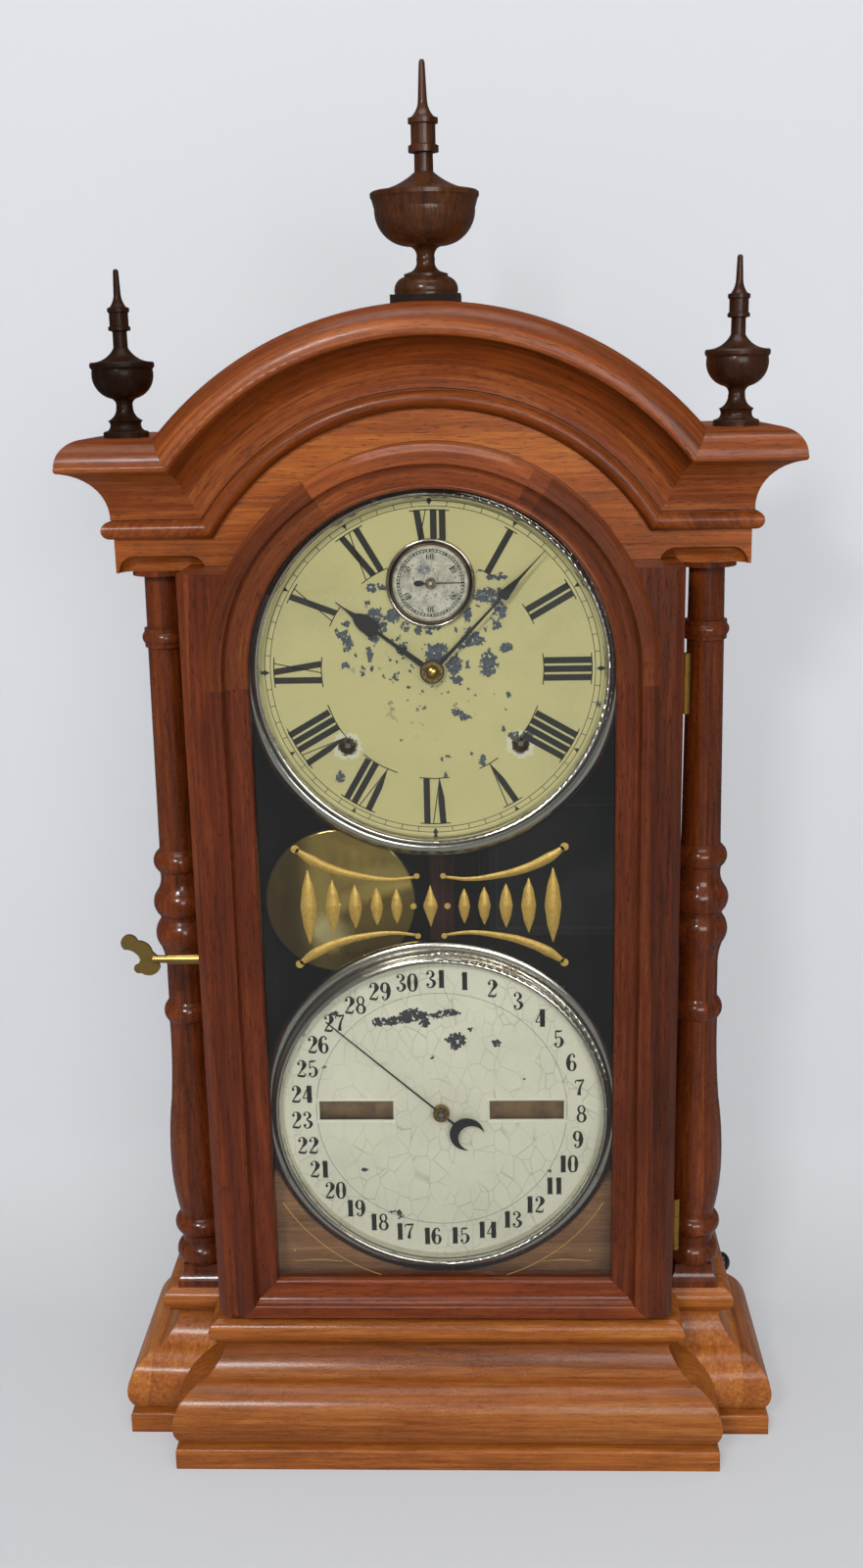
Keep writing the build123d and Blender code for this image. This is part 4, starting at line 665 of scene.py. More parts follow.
@dataclass(frozen=True)
class Paper:
    """Browned paper or card under old varnish."""

    name: str
    colour: str
    stain: str
    rule_colour: str = "3C4038"
    border: tuple[float, float, float, float] | None = None

    def make(self) -> Material:
        """Build the material."""
        shader = Shader(self.name)
        place = shader.place()
        cloud = shader.noise(place, 70.0, detail=5.0, roughness=0.65)
        fibre = shader.noise(place, 1400.0, detail=3.0, roughness=0.6)
        colour = shader.mix(cloud.rise(0.35, 0.7), seen(self.colour), seen(self.stain))
        colour = shader.mix(fibre.rise(0.5, 0.8) * 0.35, colour, seen(self.stain))
        if self.border:
            x, _, z = shader.axes(place)
            middle_x, middle_z, half_wide, half_high = self.border
            away = (abs(x - middle_x) - half_wide).most(abs(z - middle_z) - half_high)
            line = abs(away).rise(0.0003, 0.0009, 1.0, 0.0)
            colour = shader.mix(line * 0.5, colour, seen(self.rule_colour))
        return shader.finished(
            Base_Color=colour, Roughness=cloud * 0.2 + 0.5, Normal=shader.bump(fibre + cloud, 0.00008)
        )


@dataclass(frozen=True)
class Pane:
    """Clear, slightly reflecting glass that lets the lamps through."""

    name: str
    bend: float = 1.5

    def make(self) -> Material:
        """Build the material."""
        shader = Shader(self.name)
        place = shader.place()
        edge = shader.amount("ShaderNodeFresnel", 0, None, {"IOR": self.bend})
        smear = shader.noise(place, 18.0, detail=3.0, roughness=0.6)
        dust = shader.noise(place, 900.0, detail=2.0, roughness=0.6).rise(0.66, 0.72) * 0.03
        haze = smear.rise(0.5, 0.9) * 0.012 + dust
        clear = shader.node("ShaderNodeBsdfTransparent", None, {"Color": (0.975, 0.975, 0.955, 1.0)})
        sheen = shader.node(
            "ShaderNodeBsdfPrincipled",
            None,
            {"Base Color": (0.9, 0.92, 0.92, 1.0), "Metallic": 1.0, "Roughness": 0.02},
        )
        factor = (edge + haze).least(1.0)
        surface = shader.node(
            "ShaderNodeMixShader", None, {0: factor, 1: clear.outputs[0], 2: sheen.outputs[0]}
        )
        shader.tree.links.new(surface.outputs[0], shader.output.inputs["Surface"])
        return shader.material


@dataclass(frozen=True)
class Gilt:
    """Gold leaf on the back of the glass."""

    name: str
    leaf: str = "DCBC6A"
    thin: str = "CBA652"

    def make(self) -> Material:
        """Build the material."""
        shader = Shader(self.name)
        place = shader.place()
        fleck = shader.noise(place, 500.0, detail=4.0, roughness=0.65)
        colour = shader.mix(fleck.rise(0.35, 0.7), seen(self.leaf), seen(self.thin))
        return shader.finished(
            Base_Color=colour, Metallic=0.35, Roughness=fleck * 0.2 + 0.38, Normal=shader.bump(fleck, 0.00004)
        )


def dress(material: Material, *nodes: str) -> None:
    """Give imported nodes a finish."""
    for name in nodes:
        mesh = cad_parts[name].data
        mesh.materials.clear()
        mesh.materials.append(material)
        log.info("dressed %s with %s", name, material.name)


def piece(bm: BMesh, name: str, material: Material, body: str) -> None:
    """Turn a finished bmesh into a piece of the clock.

    Args:
        bm: The mesh, in place; it is freed.
        name: The piece's name.
        material: Its finish.
        body: The body that it rides on.
    """
    mesh = bpy.data.meshes.new(name)
    bmesh.ops.remove_doubles(bm, verts=bm.verts, dist=1e-7)
    bmesh.ops.recalc_face_normals(bm, faces=bm.faces)
    bm.to_mesh(mesh)
    bm.free()
    mesh.materials.append(material)
    made = bpy.data.objects.new(name, mesh)
    bpy.context.scene.collection.objects.link(made)
    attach(made, body)
    log.info("made %s with %d faces on %s", name, len(mesh.polygons), body)


def pen_mesh(strokes: Iterable[tuple[Sequence[PenPoint], bool]]) -> bpy.types.Mesh:
    """Draw strokes that bend and whose width changes along them, flat in the XY plane.

    Args:
        strokes: Each stroke's points, (x, y, half width), and whether it closes on itself.

    Returns:
        A mesh of flat ribbons.
    """
    curve = bpy.data.curves.new("pen", "CURVE")
    curve.dimensions = "3D"
    curve.extrude = 1.0
    curve.resolution_u = 8
    for points, closed in strokes:
        spline = curve.splines.new("BEZIER")
        spline.bezier_points.add(len(points) - 1)
        spline.use_cyclic_u = closed
        for knot, (x, y, half_width) in zip(spline.bezier_points, points):
            knot.co = (x, y, 0.0)
            knot.radius = half_width
            knot.tilt = math.pi / 2
            knot.handle_left_type = knot.handle_right_type = "AUTO"
    holder = bpy.data.objects.new("pen", curve)
    bpy.context.scene.collection.objects.link(holder)
    bpy.context.view_layer.update()
    mesh = bpy.data.meshes.new_from_object(holder.evaluated_get(bpy.context.evaluated_depsgraph_get()))
    bpy.data.objects.remove(holder)
    bpy.data.curves.remove(curve)
    return mesh


def pour(bm: BMesh, mesh: bpy.types.Mesh, matrix: Matrix) -> None:
    """Add a transformed copy of a mesh to a bmesh."""
    old = set(bm.verts)
    bm.from_mesh(mesh)
    new = [v for v in bm.verts if v not in old]
    bmesh.ops.transform(bm, matrix=matrix, verts=new)


def polygon(bm: BMesh, points: Sequence[tuple[float, float]], matrix: Matrix) -> None:
    """Add a flat face through points of the XY plane, moved by a matrix."""
    bm.faces.new([bm.verts.new(matrix @ Vector((x, y, 0.0))) for x, y in points])


def spot(bm: BMesh, x: float, y: float, radius: float, matrix: Matrix, sides: int = 20) -> None:
    """Add a flat disc at a place in the XY plane, then move it by a matrix."""
    place = matrix @ Matrix.Translation((x, y, 0.0))
    bmesh.ops.create_circle(bm, cap_ends=True, segments=sides, radius=radius, matrix=place)


def hoop(bm: BMesh, inner: float, outer: float, matrix: Matrix, sides: int = 180) -> None:
    """Add a flat ring about the origin of the XY plane, then move it by a matrix."""
    rings = []
    for radius in (inner, outer):
        made = bmesh.ops.create_circle(bm, segments=sides, radius=radius, matrix=matrix)
        rings += list({edge for vert in made["verts"] for edge in vert.link_edges})
    bmesh.ops.bridge_loops(bm, edges=rings)


def thicken(bm: BMesh, thickness: float, front: float) -> None:
    """Give flat work standing in an XZ plane a thickness, with its front face at a depth.

    Args:
        bm: The flat work.
        thickness: Its thickness in metres.
        front: Y of its front face.
    """
    made = bmesh.ops.extrude_face_region(bm, geom=list(bm.faces))
    lifted = [v for v in made["geom"] if isinstance(v, bmesh.types.BMVert)]
    back = set(bm.verts) - set(lifted)
    for vert in lifted:
        vert.co.y = front
    for vert in back:
        vert.co.y = front + thickness


class Digits:
    """Numerals with strong stems, thin joins and ball ends, one unit tall."""

    thin = 0.03
    stem = 0.13
    weight = 1.18
    fine_limit = 0.04

    def __init__(self) -> None:
        """Draw each digit once."""
        thin, stem = self.thin, self.stem
        ring = [(0.28, 0.975, thin), (0.1, 0.5, 0.095), (0.28, 0.025, thin), (0.46, 0.5, 0.095)]
        foot = [(0.24, 0.025, thin), (0.06, 0.15, thin)]
        six = [
            (0.42, 0.88, thin), (0.29, 0.975, thin), (0.09, 0.48, stem), (0.27, 0.025, 0.03), (0.45, 0.29, 0.07),
            (0.29, 0.56, thin), (0.15, 0.42, thin),
        ]
        self.strokes: dict[str, tuple[list, list]] = {
            "0": ([(ring, True)], []),
            "1": (
                [([(0.24, 0.0, stem), (0.24, 1.0, stem)], False), ([(0.24, 0.975, 0.03), (0.07, 0.84, 0.02)], False),
                 ([(0.08, 0.015, 0.016), (0.4, 0.015, 0.016)], False)],
                [],
            ),
            "2": (
                [([(0.06, 0.8, thin), (0.25, 0.975, 0.022), (0.43, 0.74, stem), (0.25, 0.38, 0.04),
                   (0.05, 0.08, thin)], False),
                 ([(0.05, 0.06, 0.03), (0.22, 0.08, 0.062), (0.4, 0.07, 0.05), (0.49, 0.25, 0.014)], False)],
                [(0.125, 0.77, 0.075)],
            ),
            "3": (
                [([(0.07, 0.86, thin), (0.25, 0.975, 0.022), (0.41, 0.76, 0.068), (0.22, 0.53, thin)], False),
                 ([(0.22, 0.53, thin), (0.46, 0.29, 0.082), *foot], False)],
                [(0.125, 0.81, 0.07), (0.12, 0.2, 0.078)],
            ),
            "4": (
                [([(0.35, 0.98, thin), (0.03, 0.27, thin)], False), ([(0.02, 0.27, thin), (0.54, 0.27, thin)], False),
                 ([(0.38, 0.0, stem), (0.38, 0.99, stem)], False), ([(0.25, 0.015, 0.016), (0.52, 0.015, 0.016)], False)],
                [],
            ),
            "5": (
                [([(0.12, 0.92, 0.045), (0.3, 0.92, 0.05), (0.45, 0.95, 0.025)], False),
                 ([(0.115, 0.93, thin), (0.115, 0.5, thin)], False),
                 ([(0.115, 0.51, thin), (0.27, 0.61, 0.025), (0.46, 0.33, 0.082), *foot], False)],
                [(0.12, 0.2, 0.078)],
            ),
            "6": ([(six, False)], [(0.39, 0.83, 0.062)]),
            "7": (
                [([(0.05, 0.76, thin), (0.08, 0.9, 0.03), (0.28, 0.91, 0.058), (0.5, 0.96, thin)], False),
                 ([(0.5, 0.96, thin), (0.3, 0.5, 0.045), (0.24, 0.07, 0.085)], False)],
                [],
            ),
            "8": (
                [([(0.27, 0.975, thin), (0.11, 0.76, 0.05), (0.28, 0.53, 0.04), (0.43, 0.76, 0.045)], True),
                 ([(0.27, 0.53, 0.035), (0.08, 0.27, 0.06), (0.27, 0.025, thin), (0.47, 0.27, 0.07)], True)],
                [],
            ),
            "9": ([([(0.54 - x, 1.0 - y, w) for x, y, w in six], False)], [(0.15, 0.17, 0.062)]),
        }
        self.meshes = {}
        for key, (strokes, _) in self.strokes.items():
            self.meshes[key] = pen_mesh([(self.heavier(row), closed) for row, closed in strokes])
        self.widths = {key: 0.48 if key == "1" else 0.6 for key in self.strokes}

    def heavier(self, row: Iterable[PenPoint]) -> list[PenPoint]:
        """Thicken a stroke where it is neither fine nor a whole stem."""
        grown = []
        for x, y, half in row:
            plain = half <= self.fine_limit or half == self.stem
            grown.append((x, y, half if plain else half * self.weight))
        return grown

    def write(self, bm: BMesh, number: int, matrix: Matrix, height: float) -> None:
        """Write a number centred on the origin of a matrix's XY plane.

        Args:
            bm: The mesh to write into.
            number: The number.
            matrix: Where its middle goes.
            height: How tall its digits are.
        """
        text = str(number)
        width = sum(self.widths[key] for key in text)
        x = -width / 2
        for key in text:
            place = matrix @ Matrix.Scale(height, 4) @ Matrix.Translation((x, -0.5, 0.0))
            pour(bm, self.meshes[key], place)
            for ball_x, ball_y, radius in self.strokes[key][1]:
                spot(bm, ball_x, ball_y, radius, place, 14)
            x += self.widths[key]


class Numeral:
    """Roman numeral between two circles: heavy bars, hairlines and thin arcs at both ends."""

    bar = 3.65 * MM
    gap = 1.25 * MM
    hairline = 0.6 * MM
    splay = 4.3 * MM
    overhang = 2.2 * MM
    wedge_share = 0.42

    def __init__(self, text: str, inner: float, outer: float) -> None:
        """Plan a numeral from an inner to an outer radius."""
        self.text = text
        self.inner = inner
        self.outer = outer

    def band(self, low: float, high: float, width: float) -> list[tuple[float, float]]:
        """Outline of an even stroke from its middle at the inner end to its middle at the outer end."""
        half = width / 2
        foot = [(low - half, self.inner), (low + half, self.inner)]
        return [*foot, (high + half, self.outer), (high - half, self.outer)]

    def wedge(self, low: float, high: float) -> list[tuple[float, float]]:
        """Outline of a heavy stroke that starts from a point at the inner end."""
        half = self.bar / 2
        share = self.wedge_share
        middle = low + (high - low) * share
        radius = self.inner + (self.outer - self.inner) * share
        return [(low, self.inner), (middle + half, radius), (high + half, self.outer), (high - half, self.outer),
                (middle - half, radius)]

    def strokes(self) -> tuple[list[list[tuple[float, float]]], float]:
        """Plan the outlines of the strokes, and the whole width."""
        planned = []
        x = 0.0
        for letter in self.text:
            middle = x + self.bar / 2
            if letter == "I":
                planned.append(self.band(middle, middle, self.bar))
                x += self.bar + self.gap
            elif letter == "V":
                foot = middle + self.splay * 0.4
                planned.append(self.wedge(foot, middle))
                planned.append(self.band(foot, middle + self.splay + self.bar * 0.4, self.hairline))
                x += self.splay + self.bar + self.gap
            else:
                planned.append(self.band(middle + self.splay, middle, self.bar))
                over = self.bar * 0.2
                planned.append(self.band(middle - over, middle + self.splay + over, self.hairline))
                x += self.splay + self.bar + self.gap
        return planned, x - self.gap

    def draw(self, bm: BMesh, place: Matrix) -> None:
        """Draw it upright above a dial's centre, then turn it into place.

        Args:
            bm: The mesh to draw into.
            place: Moves the XY plane, with the dial's centre at its origin, into place.
        """
        planned, width = self.strokes()
        for points in planned:
            polygon(bm, [(x - width / 2, y) for x, y in points], place)
        half = width / 2 + self.overhang
        for radius in (self.inner, self.outer):
            reach = half / radius
            arc = []
            for share in (-1.0, 0.0, 1.0):
                angle = share * reach
                arc.append((radius * math.sin(angle), radius * math.cos(angle), self.hairline / 2))
            pour(bm, pen_mesh([(arc, False)]), place)


def clockwise(degrees: float, centre: Vector) -> Matrix:
    """Matrix that stands the XY plane up in front of a dial and turns it clockwise about the dial's centre.

    Args:
        degrees: How far it turns, from straight up.
        centre: The dial's centre.

    Returns:
        The matrix.
    """
    stand = Matrix(((1, 0, 0, 0), (0, 0, -1, 0), (0, 1, 0, 0), (0, 0, 0, 1)))
    turn = Matrix.Rotation(math.radians(degrees), 4, "Y")
    return Matrix.Translation(centre) @ turn @ stand


@dataclass
class Dial:
    """A round dial: the centre and the front of its plate."""

    node: str
    centre: Vector = field(init=False)
    radius: float = field(init=False)

    def __post_init__(self) -> None:
        """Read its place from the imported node."""
        low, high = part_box(self.node)
        self.centre = Vector(((low.x + high.x) / 2, low.y, (low.z + high.z) / 2))
        self.radius = (high.x - low.x) / 2

    def bezel_roll(self) -> tuple[float, float, float]:
        """Height of the bezel's centre, radius of its rounded band and the band's half width."""
        return (self.centre.z, self.radius + 6.4 * MM, 4.6 * MM)


@dataclass
class TimeSide:
    """Upper dial with its bezel, its seconds dial and its hands."""

    digits: Digits
    dial: Dial = field(default_factory=lambda: Dial("time_dial"))
    track_inner: float = 91.3 * MM
    track_outer: float = 94.3 * MM
    track_line: float = 0.4 * MM
    numeral_inner: float = 62.5 * MM
    numeral_outer: float = 89.3 * MM
    diamond: float = 1.9 * MM
    ink_thickness: float = 0.05 * MM
    seconds_face: float = 20.2 * MM
    seconds_track: float = 18.6 * MM
    seconds_track_width: float = 1.3 * MM
    seconds_rise: float = 0.6 * MM
    seconds_digit: float = 3.6 * MM

    def build(self) -> None:
        """Dress the nodes and print the dial."""
        halos = (Flake(-49.2, -43, 8.4, 8.0), Flake(49.2, -43, 8.2, 8.0))
        paint = DialPaint("cream dial paint", "C6BF8A", "B2AA7A", "3A4350", self.flakes(), halos, speck_zone=60.0)
        dress(paint.make(self.dial.centre), "time_dial")
        roll = self.dial.bezel_roll()
        dress(Metal("polished nickel", "E6E4DE", "A39A86", 0.15, 0.13, 0.2, 0.3, roll=roll).make(), "time_bezel")
        low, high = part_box("seconds_dial")
        seconds_centre = Vector(((low.x + high.x) / 2, low.y, (low.z + high.z) / 2))
        face = SecondsFace("silvered seconds dial", self.seconds_face, 21.6 * MM, 23.0 * MM)
        dress(face.make(seconds_centre), "seconds_dial")
        black = Japan("blackened hands", "101012", "2C2C30", boss=6.0, boss_colour="A48C50")
        dress(black.make(self.dial.centre), "hour_hand", "minute_hand")
        hub = Japan("blued seconds hand", "1E2024", "34363C", boss=3.2, boss_colour="8C887C", pin=1.0)
        dress(hub.make(seconds_centre), "seconds_hand")
        ink = Japan("dial ink", "181816", "34342E", 0.5).make()
        self.print_hours(ink)
        self.print_track(ink)
        self.print_seconds(ink, seconds_centre)

    def flakes(self) -> tuple[Flake, ...]:
        """Where the paint has come off."""
        rows = (
            (-31, 47, 5, 2.5), (-35.5, 39, 1.5, 1), (-32, 31.5, 5, 4.5), (-21.5, 31, 4.5, 4), (-14.6, 25, 2.7, 3),
            (-7.5, 22.5, 2, 2.5), (1, 24.5, 6, 1.5), (-27, 25, 2.5, 3.5), (-33, 19, 3, 3), (-17, 13, 3, 2.5),
            (-47, 15.5, 3, 4.5), (-49, 21, 4, 3), (-47.7, 27, 2.5, 1.5), (-53.5, 23, 1.3, 1.3), (-43, 9.4, 1.2, 1),
            (-34.6, 9.4, 2, 3.8), (-49, 3.4, 3.4, 1.8), (-39, 0.5, 1.2, 2.4), (-33.8, 2, 1, 2), (-19, 0, 0.8, 0.8),
            (-13, 0, 0.7, 0.7), (3, 9.5, 7, 6), (12.4, 3, 5, 5.5), (13.5, -5, 3.4, 3), (31.4, 2.2, 5.5, 6.6),
            (22.6, 17.6, 7.5, 4.5), (41.5, 12.4, 3.6, 3), (32.7, 41.8, 9.5, 4.5), (38.5, 34, 4, 6), (36, 26, 2.5, 3.5),
            (36, 52, 6, 1.8), (26, 55.6, 1.5, 1), (20, 31, 2.5, 4), (26, 36, 1.5, 1), (13.5, 22.8, 1.4, 1.4),
            (20, 5, 1, 1), (13, -24, 3.2, 2.6), (18, -27, 3.6, 2.2), (42.6, -15, 1.5, 2), (34.3, -14.6, 1, 0.8),
            (40.8, -22, 0.8, 0.8), (39.5, -34.5, 1, 2), (4.3, -51, 1, 2), (8, -50, 2, 1), (21, -48, 1, 1),
            (27.7, -52, 2, 2.8), (-54.3, -61, 2.6, 3.8), (-18.4, -40, 1, 0.8), (6.4, -60, 1, 1.6),
            (93, -20.5, 1.2, 2), (45.5, -38, 3.5, 2.2), (53, -38, 2.4, 2),
        )
        return tuple(Flake(*row) for row in rows)

    def print_hours(self, ink: Material) -> None:
        """Print the twelve Roman numerals."""
        bm = bmesh.new()
        names = ("XII", "I", "II", "III", "IIII", "V", "VI", "VII", "VIII", "IX", "X", "XI")
        for hour, text in enumerate(names):
            place = clockwise(hour * 30.0, self.dial.centre)
            Numeral(text, self.numeral_inner, self.numeral_outer).draw(bm, place)
        thicken(bm, self.ink_thickness, self.dial.centre.y - self.ink_thickness)
        piece(bm, "hour_numerals", ink, "case")

    def print_track(self, ink: Material) -> None:
        """Print the minute track, with a diamond at each quarter and a small dart at the other hours."""
        bm = bmesh.new()
        upright = clockwise(0.0, self.dial.centre)
        half = self.track_line / 2
        for radius in (self.track_inner, self.track_outer):
            hoop(bm, radius - half, radius + half, upright)
        for minute in range(60):
            place = clockwise(minute * 6.0, self.dial.centre)
            if minute % 5:
                mark = [(-half, self.track_inner), (half, self.track_inner), (half, self.track_outer),
                        (-half, self.track_outer)]
            elif minute % 15:
                wide = self.diamond * 0.7
                mark = [(0.0, self.track_inner), (wide, self.track_outer), (-wide, self.track_outer)]
            else:
                wide = self.diamond * 0.8
                tall = self.diamond * 1.4
                ring = self.track_outer
                mark = [(0.0, ring - tall), (wide, ring), (0.0, ring + tall), (-wide, ring)]
            polygon(bm, mark, place)
        thicken(bm, self.ink_thickness, self.dial.centre.y - self.ink_thickness)
        piece(bm, "minute_track", ink, "case")

    def print_seconds(self, ink: Material, centre: Vector) -> None:
        """Print the seconds dial's track and tens."""
        bm = bmesh.new()
        face_y = self.dial.centre.y - self.seconds_rise
        middle = Vector((centre.x, face_y, centre.z))
        upright = clockwise(0.0, middle)
        low = self.seconds_track - self.seconds_track_width
        for radius in (self.seconds_track, low):
            hoop(bm, radius - 0.18 * MM, radius + 0.18 * MM, upright, 96)
        for second in range(60):
            heavy = second % 5 == 0
            half = (0.44 if heavy else 0.25) * MM
            mark = [(-half, low), (half, low), (half, self.seconds_track), (-half, self.seconds_track)]
            polygon(bm, mark, clockwise(second * 6.0, middle))
        for tens in range(1, 7):
            place = clockwise(tens * 60.0, middle)
            local = Matrix.Translation((0.0, self.seconds_track - 4.0 * MM, 0.0))
            self.digits.write(bm, tens * 10, place @ local, self.seconds_digit)
        thicken(bm, self.ink_thickness, face_y - self.ink_thickness)
        piece(bm, "seconds_markings", ink, "case")


@dataclass
class CalendarSide:
    """Lower dial with the days of the month, its two windows and the date hand."""

    digits: Digits
    dial: Dial = field(default_factory=lambda: Dial("calendar_dial"))
    number_radius: float = 84.6 * MM
    number_height: float = 11.3 * MM
    number_lead: float = 1.2
    circle_radius: float = 75.6 * MM
    window_offset: float = 51.4 * MM
    window_half_width: float = 22.3 * MM
    window_half_height: float = 6.1 * MM
    window_border: float = 1.7 * MM
    window_rise: float = 0.9 * MM
    window_slope: float = 0.8 * MM

    def build(self) -> None:
        """Dress the nodes and print the dial."""
        rows = (
            (-33.9, 57.5, 7, 2.4), (-24.4, 59, 7, 2.6), (-15.6, 61.8, 8, 4), (-8.8, 57.5, 2.8, 3.5),
            (-1.4, 61.4, 5, 1.7), (5.4, 63.2, 6.5, 2.6), (9.5, 45.5, 5.3, 5.2), (18.3, 52.5, 1.8, 1),
            (33.9, 43.7, 2.6, 2.8), (-4.3, 34, 1.5, 1.5), (-62.3, 63, 2.3, 1.3), (-81.3, 49.7, 1.2, 1),
            (-70, 28.8, 1.4, 1.2), (-47.4, -39.4, 2, 1), (-27, -69, 2, 3), (-31.4, -67.4, 2, 1),
            (50, 20, 0.8, 0.8), (65, -40.5, 1.3, 0.7),
        )
        flakes = tuple(Flake(*row) for row in rows)
        paint = DialPaint("off-white dial paint", "E6E4D4", "D4D2C2", "303135", flakes, dust="BAB8AC",
                          bare_light="4A4C52", crackle=0.42, roughness=0.5)
        dress(paint.make(self.dial.centre), "calendar_dial")
        roll = self.dial.bezel_roll()
        dress(Metal("old nickel", "DAD7CE", "8A7C62", 0.35, 0.16, 0.2, 0.35, roll=roll).make(), "calendar_bezel")
        hand = Japan("blackened date hand", "111113", "2E2E32", boss=5.2, pin=1.3)
        dress(hand.make(self.dial.centre), "date_hand")
        # The browned roller paper is coloured darker still for the shade in the windows: painted shade.
        dress(Paper("roller paper, painted shade", "7A6040", "54402A").make(), "day_roller", "month_roller")
        ink = Japan("calendar ink", "161614", "34342E", 0.5).make()
        self.print_days(ink)
        self.make_window_frames()

    def print_days(self, ink: Material) -> None:
        """Print the 31 days, all upright, and the thin circle inside them."""
        bm = bmesh.new()
        line = 0.22 * MM
        upright = clockwise(0.0, self.dial.centre)
        hoop(bm, self.circle_radius - line / 2, self.circle_radius + line / 2, upright)
        for day in range(1, 32):
            angle = math.radians(day * 360.0 / 31 - self.number_lead)
            radius = self.number_radius
            place = (radius * math.sin(angle), radius * math.cos(angle), 0.0)
            self.digits.write(bm, day, upright @ Matrix.Translation(place), self.number_height)
        thickness = 0.05 * MM
        thicken(bm, thickness, self.dial.centre.y - thickness)
        piece(bm, "day_numbers", ink, "case")

    def make_window_frames(self) -> None:
        """Bevelled rims round the two windows."""
        paint = Japan("white window rim", "EDEBE0", "C4C2B8", 0.45).make()
        bm = bmesh.new()
        front = self.dial.centre.y - self.window_rise
        wide, high, border = self.window_half_width, self.window_half_height, self.window_border
        slope = self.window_slope
        foot = self.dial.centre.y
        section = [(border, foot), (border - slope * 0.3, front), (slope, front), (0.0, foot)]
        for side in (-1, 1):
            middle = self.dial.centre + Vector((side * self.window_offset, 0, 0))
            loops = []
            for grow, y in section:
                corners = [(-wide - grow, -high - grow), (wide + grow, -high - grow), (wide + grow, high + grow),
                           (-wide - grow, high + grow)]
                loops.append([bm.verts.new((middle.x + x, y, middle.z + z)) for x, z in corners])
            for outer, inner in zip(loops, loops[1:] + loops[:1]):
                for k in range(4):
                    bm.faces.new((outer[k], outer[(k + 1) % 4], inner[(k + 1) % 4], inner[k]))
        piece(bm, "window_rims", paint, "case")


@dataclass
class Woodwork:
    """All the wooden pieces of the case, the hood, the base and the door."""

    arch: ArchPlan

    def build(self) -> None:
        """Dress every wooden node."""
        base = Wood("golden base walnut", "582A0B", "A45C23", "CC893D", Grain.ACROSS, 30, 4, 0.35, craze=0.5,
                    dirt=0.5, roughness=0.36, coat=0.25, coat_roughness=0.18, dents=0.5)
        self.apply(base, "base_slab", "base_top_board")
        nose = replace(base, name="golden base walnut, nose", dark="48220A", middle="8F4D1B", light="B27434")
        self.apply(nose, "base_moulding_front")
        side = replace(base, name="golden base walnut, sides", grain=Grain.DEEP)
        self.apply(side, "base_moulding_sides")
        turned = Wood("turned walnut", "2A1006", "682E10", "944C1C", Grain.UPRIGHT, 60, 5, 0.5, dirt=0.6,
                      roughness=0.27, coat=0.4, coat_roughness=0.1)
        self.apply(turned, "column_left", "column_right", "column_pedestals")
        frieze = Wood("frieze walnut", "4C250B", "9A501D", "C87A32", Grain.ACROSS, 46, 7, 0.5, dirt=0.5,
                      roughness=0.36, coat=0.12, coat_roughness=0.16)
        self.apply(frieze, "frieze_board")
        # The ear mouldings, and from them the arch mouldings, get darker copies of the frieze walnut: painted shade for
        # their shadowed coves and undersides.
        ear = replace(frieze, name="ear walnut, painted shade", dark="3A1B07", middle="7E3C14", light="AA6228")
        self.apply(ear, "ear_mouldings")
        self.apply(replace(frieze, name="hood walnut, sides", grain=Grain.DEEP), "hood_boards", "roof_boards")
        bent = replace(ear, name="arch walnut, painted shade", grain=Grain.BENT, bands=40)
        self.apply(bent, "arch_moulding", "bead_mouldings", "case_arch")
        door = Wood("door walnut", "321307", "703010", "984C1D", Grain.UPRIGHT, 60, 6, 0.6, dirt=0.55,
                    roughness=0.32, coat=0.25, coat_roughness=0.12)
        self.apply(door, "case_side_left", "case_side_right")
        self.apply(replace(door, name="door walnut, left", middle="602810", light="84401A"), "door_stile_left")
        # The right stile gets a darker copy of the door walnut: painted shade.
        shaded = replace(door, name="door walnut, right, painted shade", dark="281006", middle="5A260E", light="7E3E18")
        self.apply(shaded, "door_stile_right")
        self.apply(replace(door, name="door walnut, rail", grain=Grain.ACROSS), "door_rail", "glass_stops",
                   "case_floor")
        bowed = replace(door, name="door walnut, arch", middle="7A3A16", light="A45824",
                        grain=Grain.THREE_LENGTHS)
        self.apply(bowed, "door_arch")
        finial = Wood("finial walnut", "241208", "4A2812", "6C4020", Grain.UPRIGHT, 60, 5, 0.5, dirt=0.6,
                      roughness=0.32, coat=0.2)
        self.apply(finial, "centre_finial")
        black = Wood("black stained finial", "0E0705", "20110A", "3A2014", Grain.UPRIGHT, 60, 5, 0.4, dirt=0.5,
                     roughness=0.38, coat=0.05, shine=0.08)
        self.apply(black, "finial_left", "centre_finial_block")
        right = replace(finial, name="dark finial walnut", dark="1C0D06", middle="3C2010", light="5A3218", coat=0.1)
        self.apply(right, "finial_right")
        back = Wood("back board", "100B08", "1E1712", "30261D", Grain.UPRIGHT, 30, 5, 0.4, dirt=0.3,
                    roughness=0.55, coat=0.1)
        self.apply(back, "back_board")
        plain = Wood("plain inner wood", "5E3C22", "9C6E4A", "BE966A", Grain.ACROSS, 40, 5, 0.3, dirt=0.3,
                     roughness=0.5, coat=0.2)
        self.apply(plain, "calendar_board")
        strip = Wood("inner strip", "241008", "4A2A1C", "6A4030", Grain.UPRIGHT, 40, 5, 0.4, dirt=0.4,
                     roughness=0.5, coat=0.2)
        self.apply(strip, "back_batten")

    def apply(self, wood: Wood, *nodes: str) -> None:
        """Make a wood and dress nodes with it."""
        dress(wood.make(self.arch), *nodes)


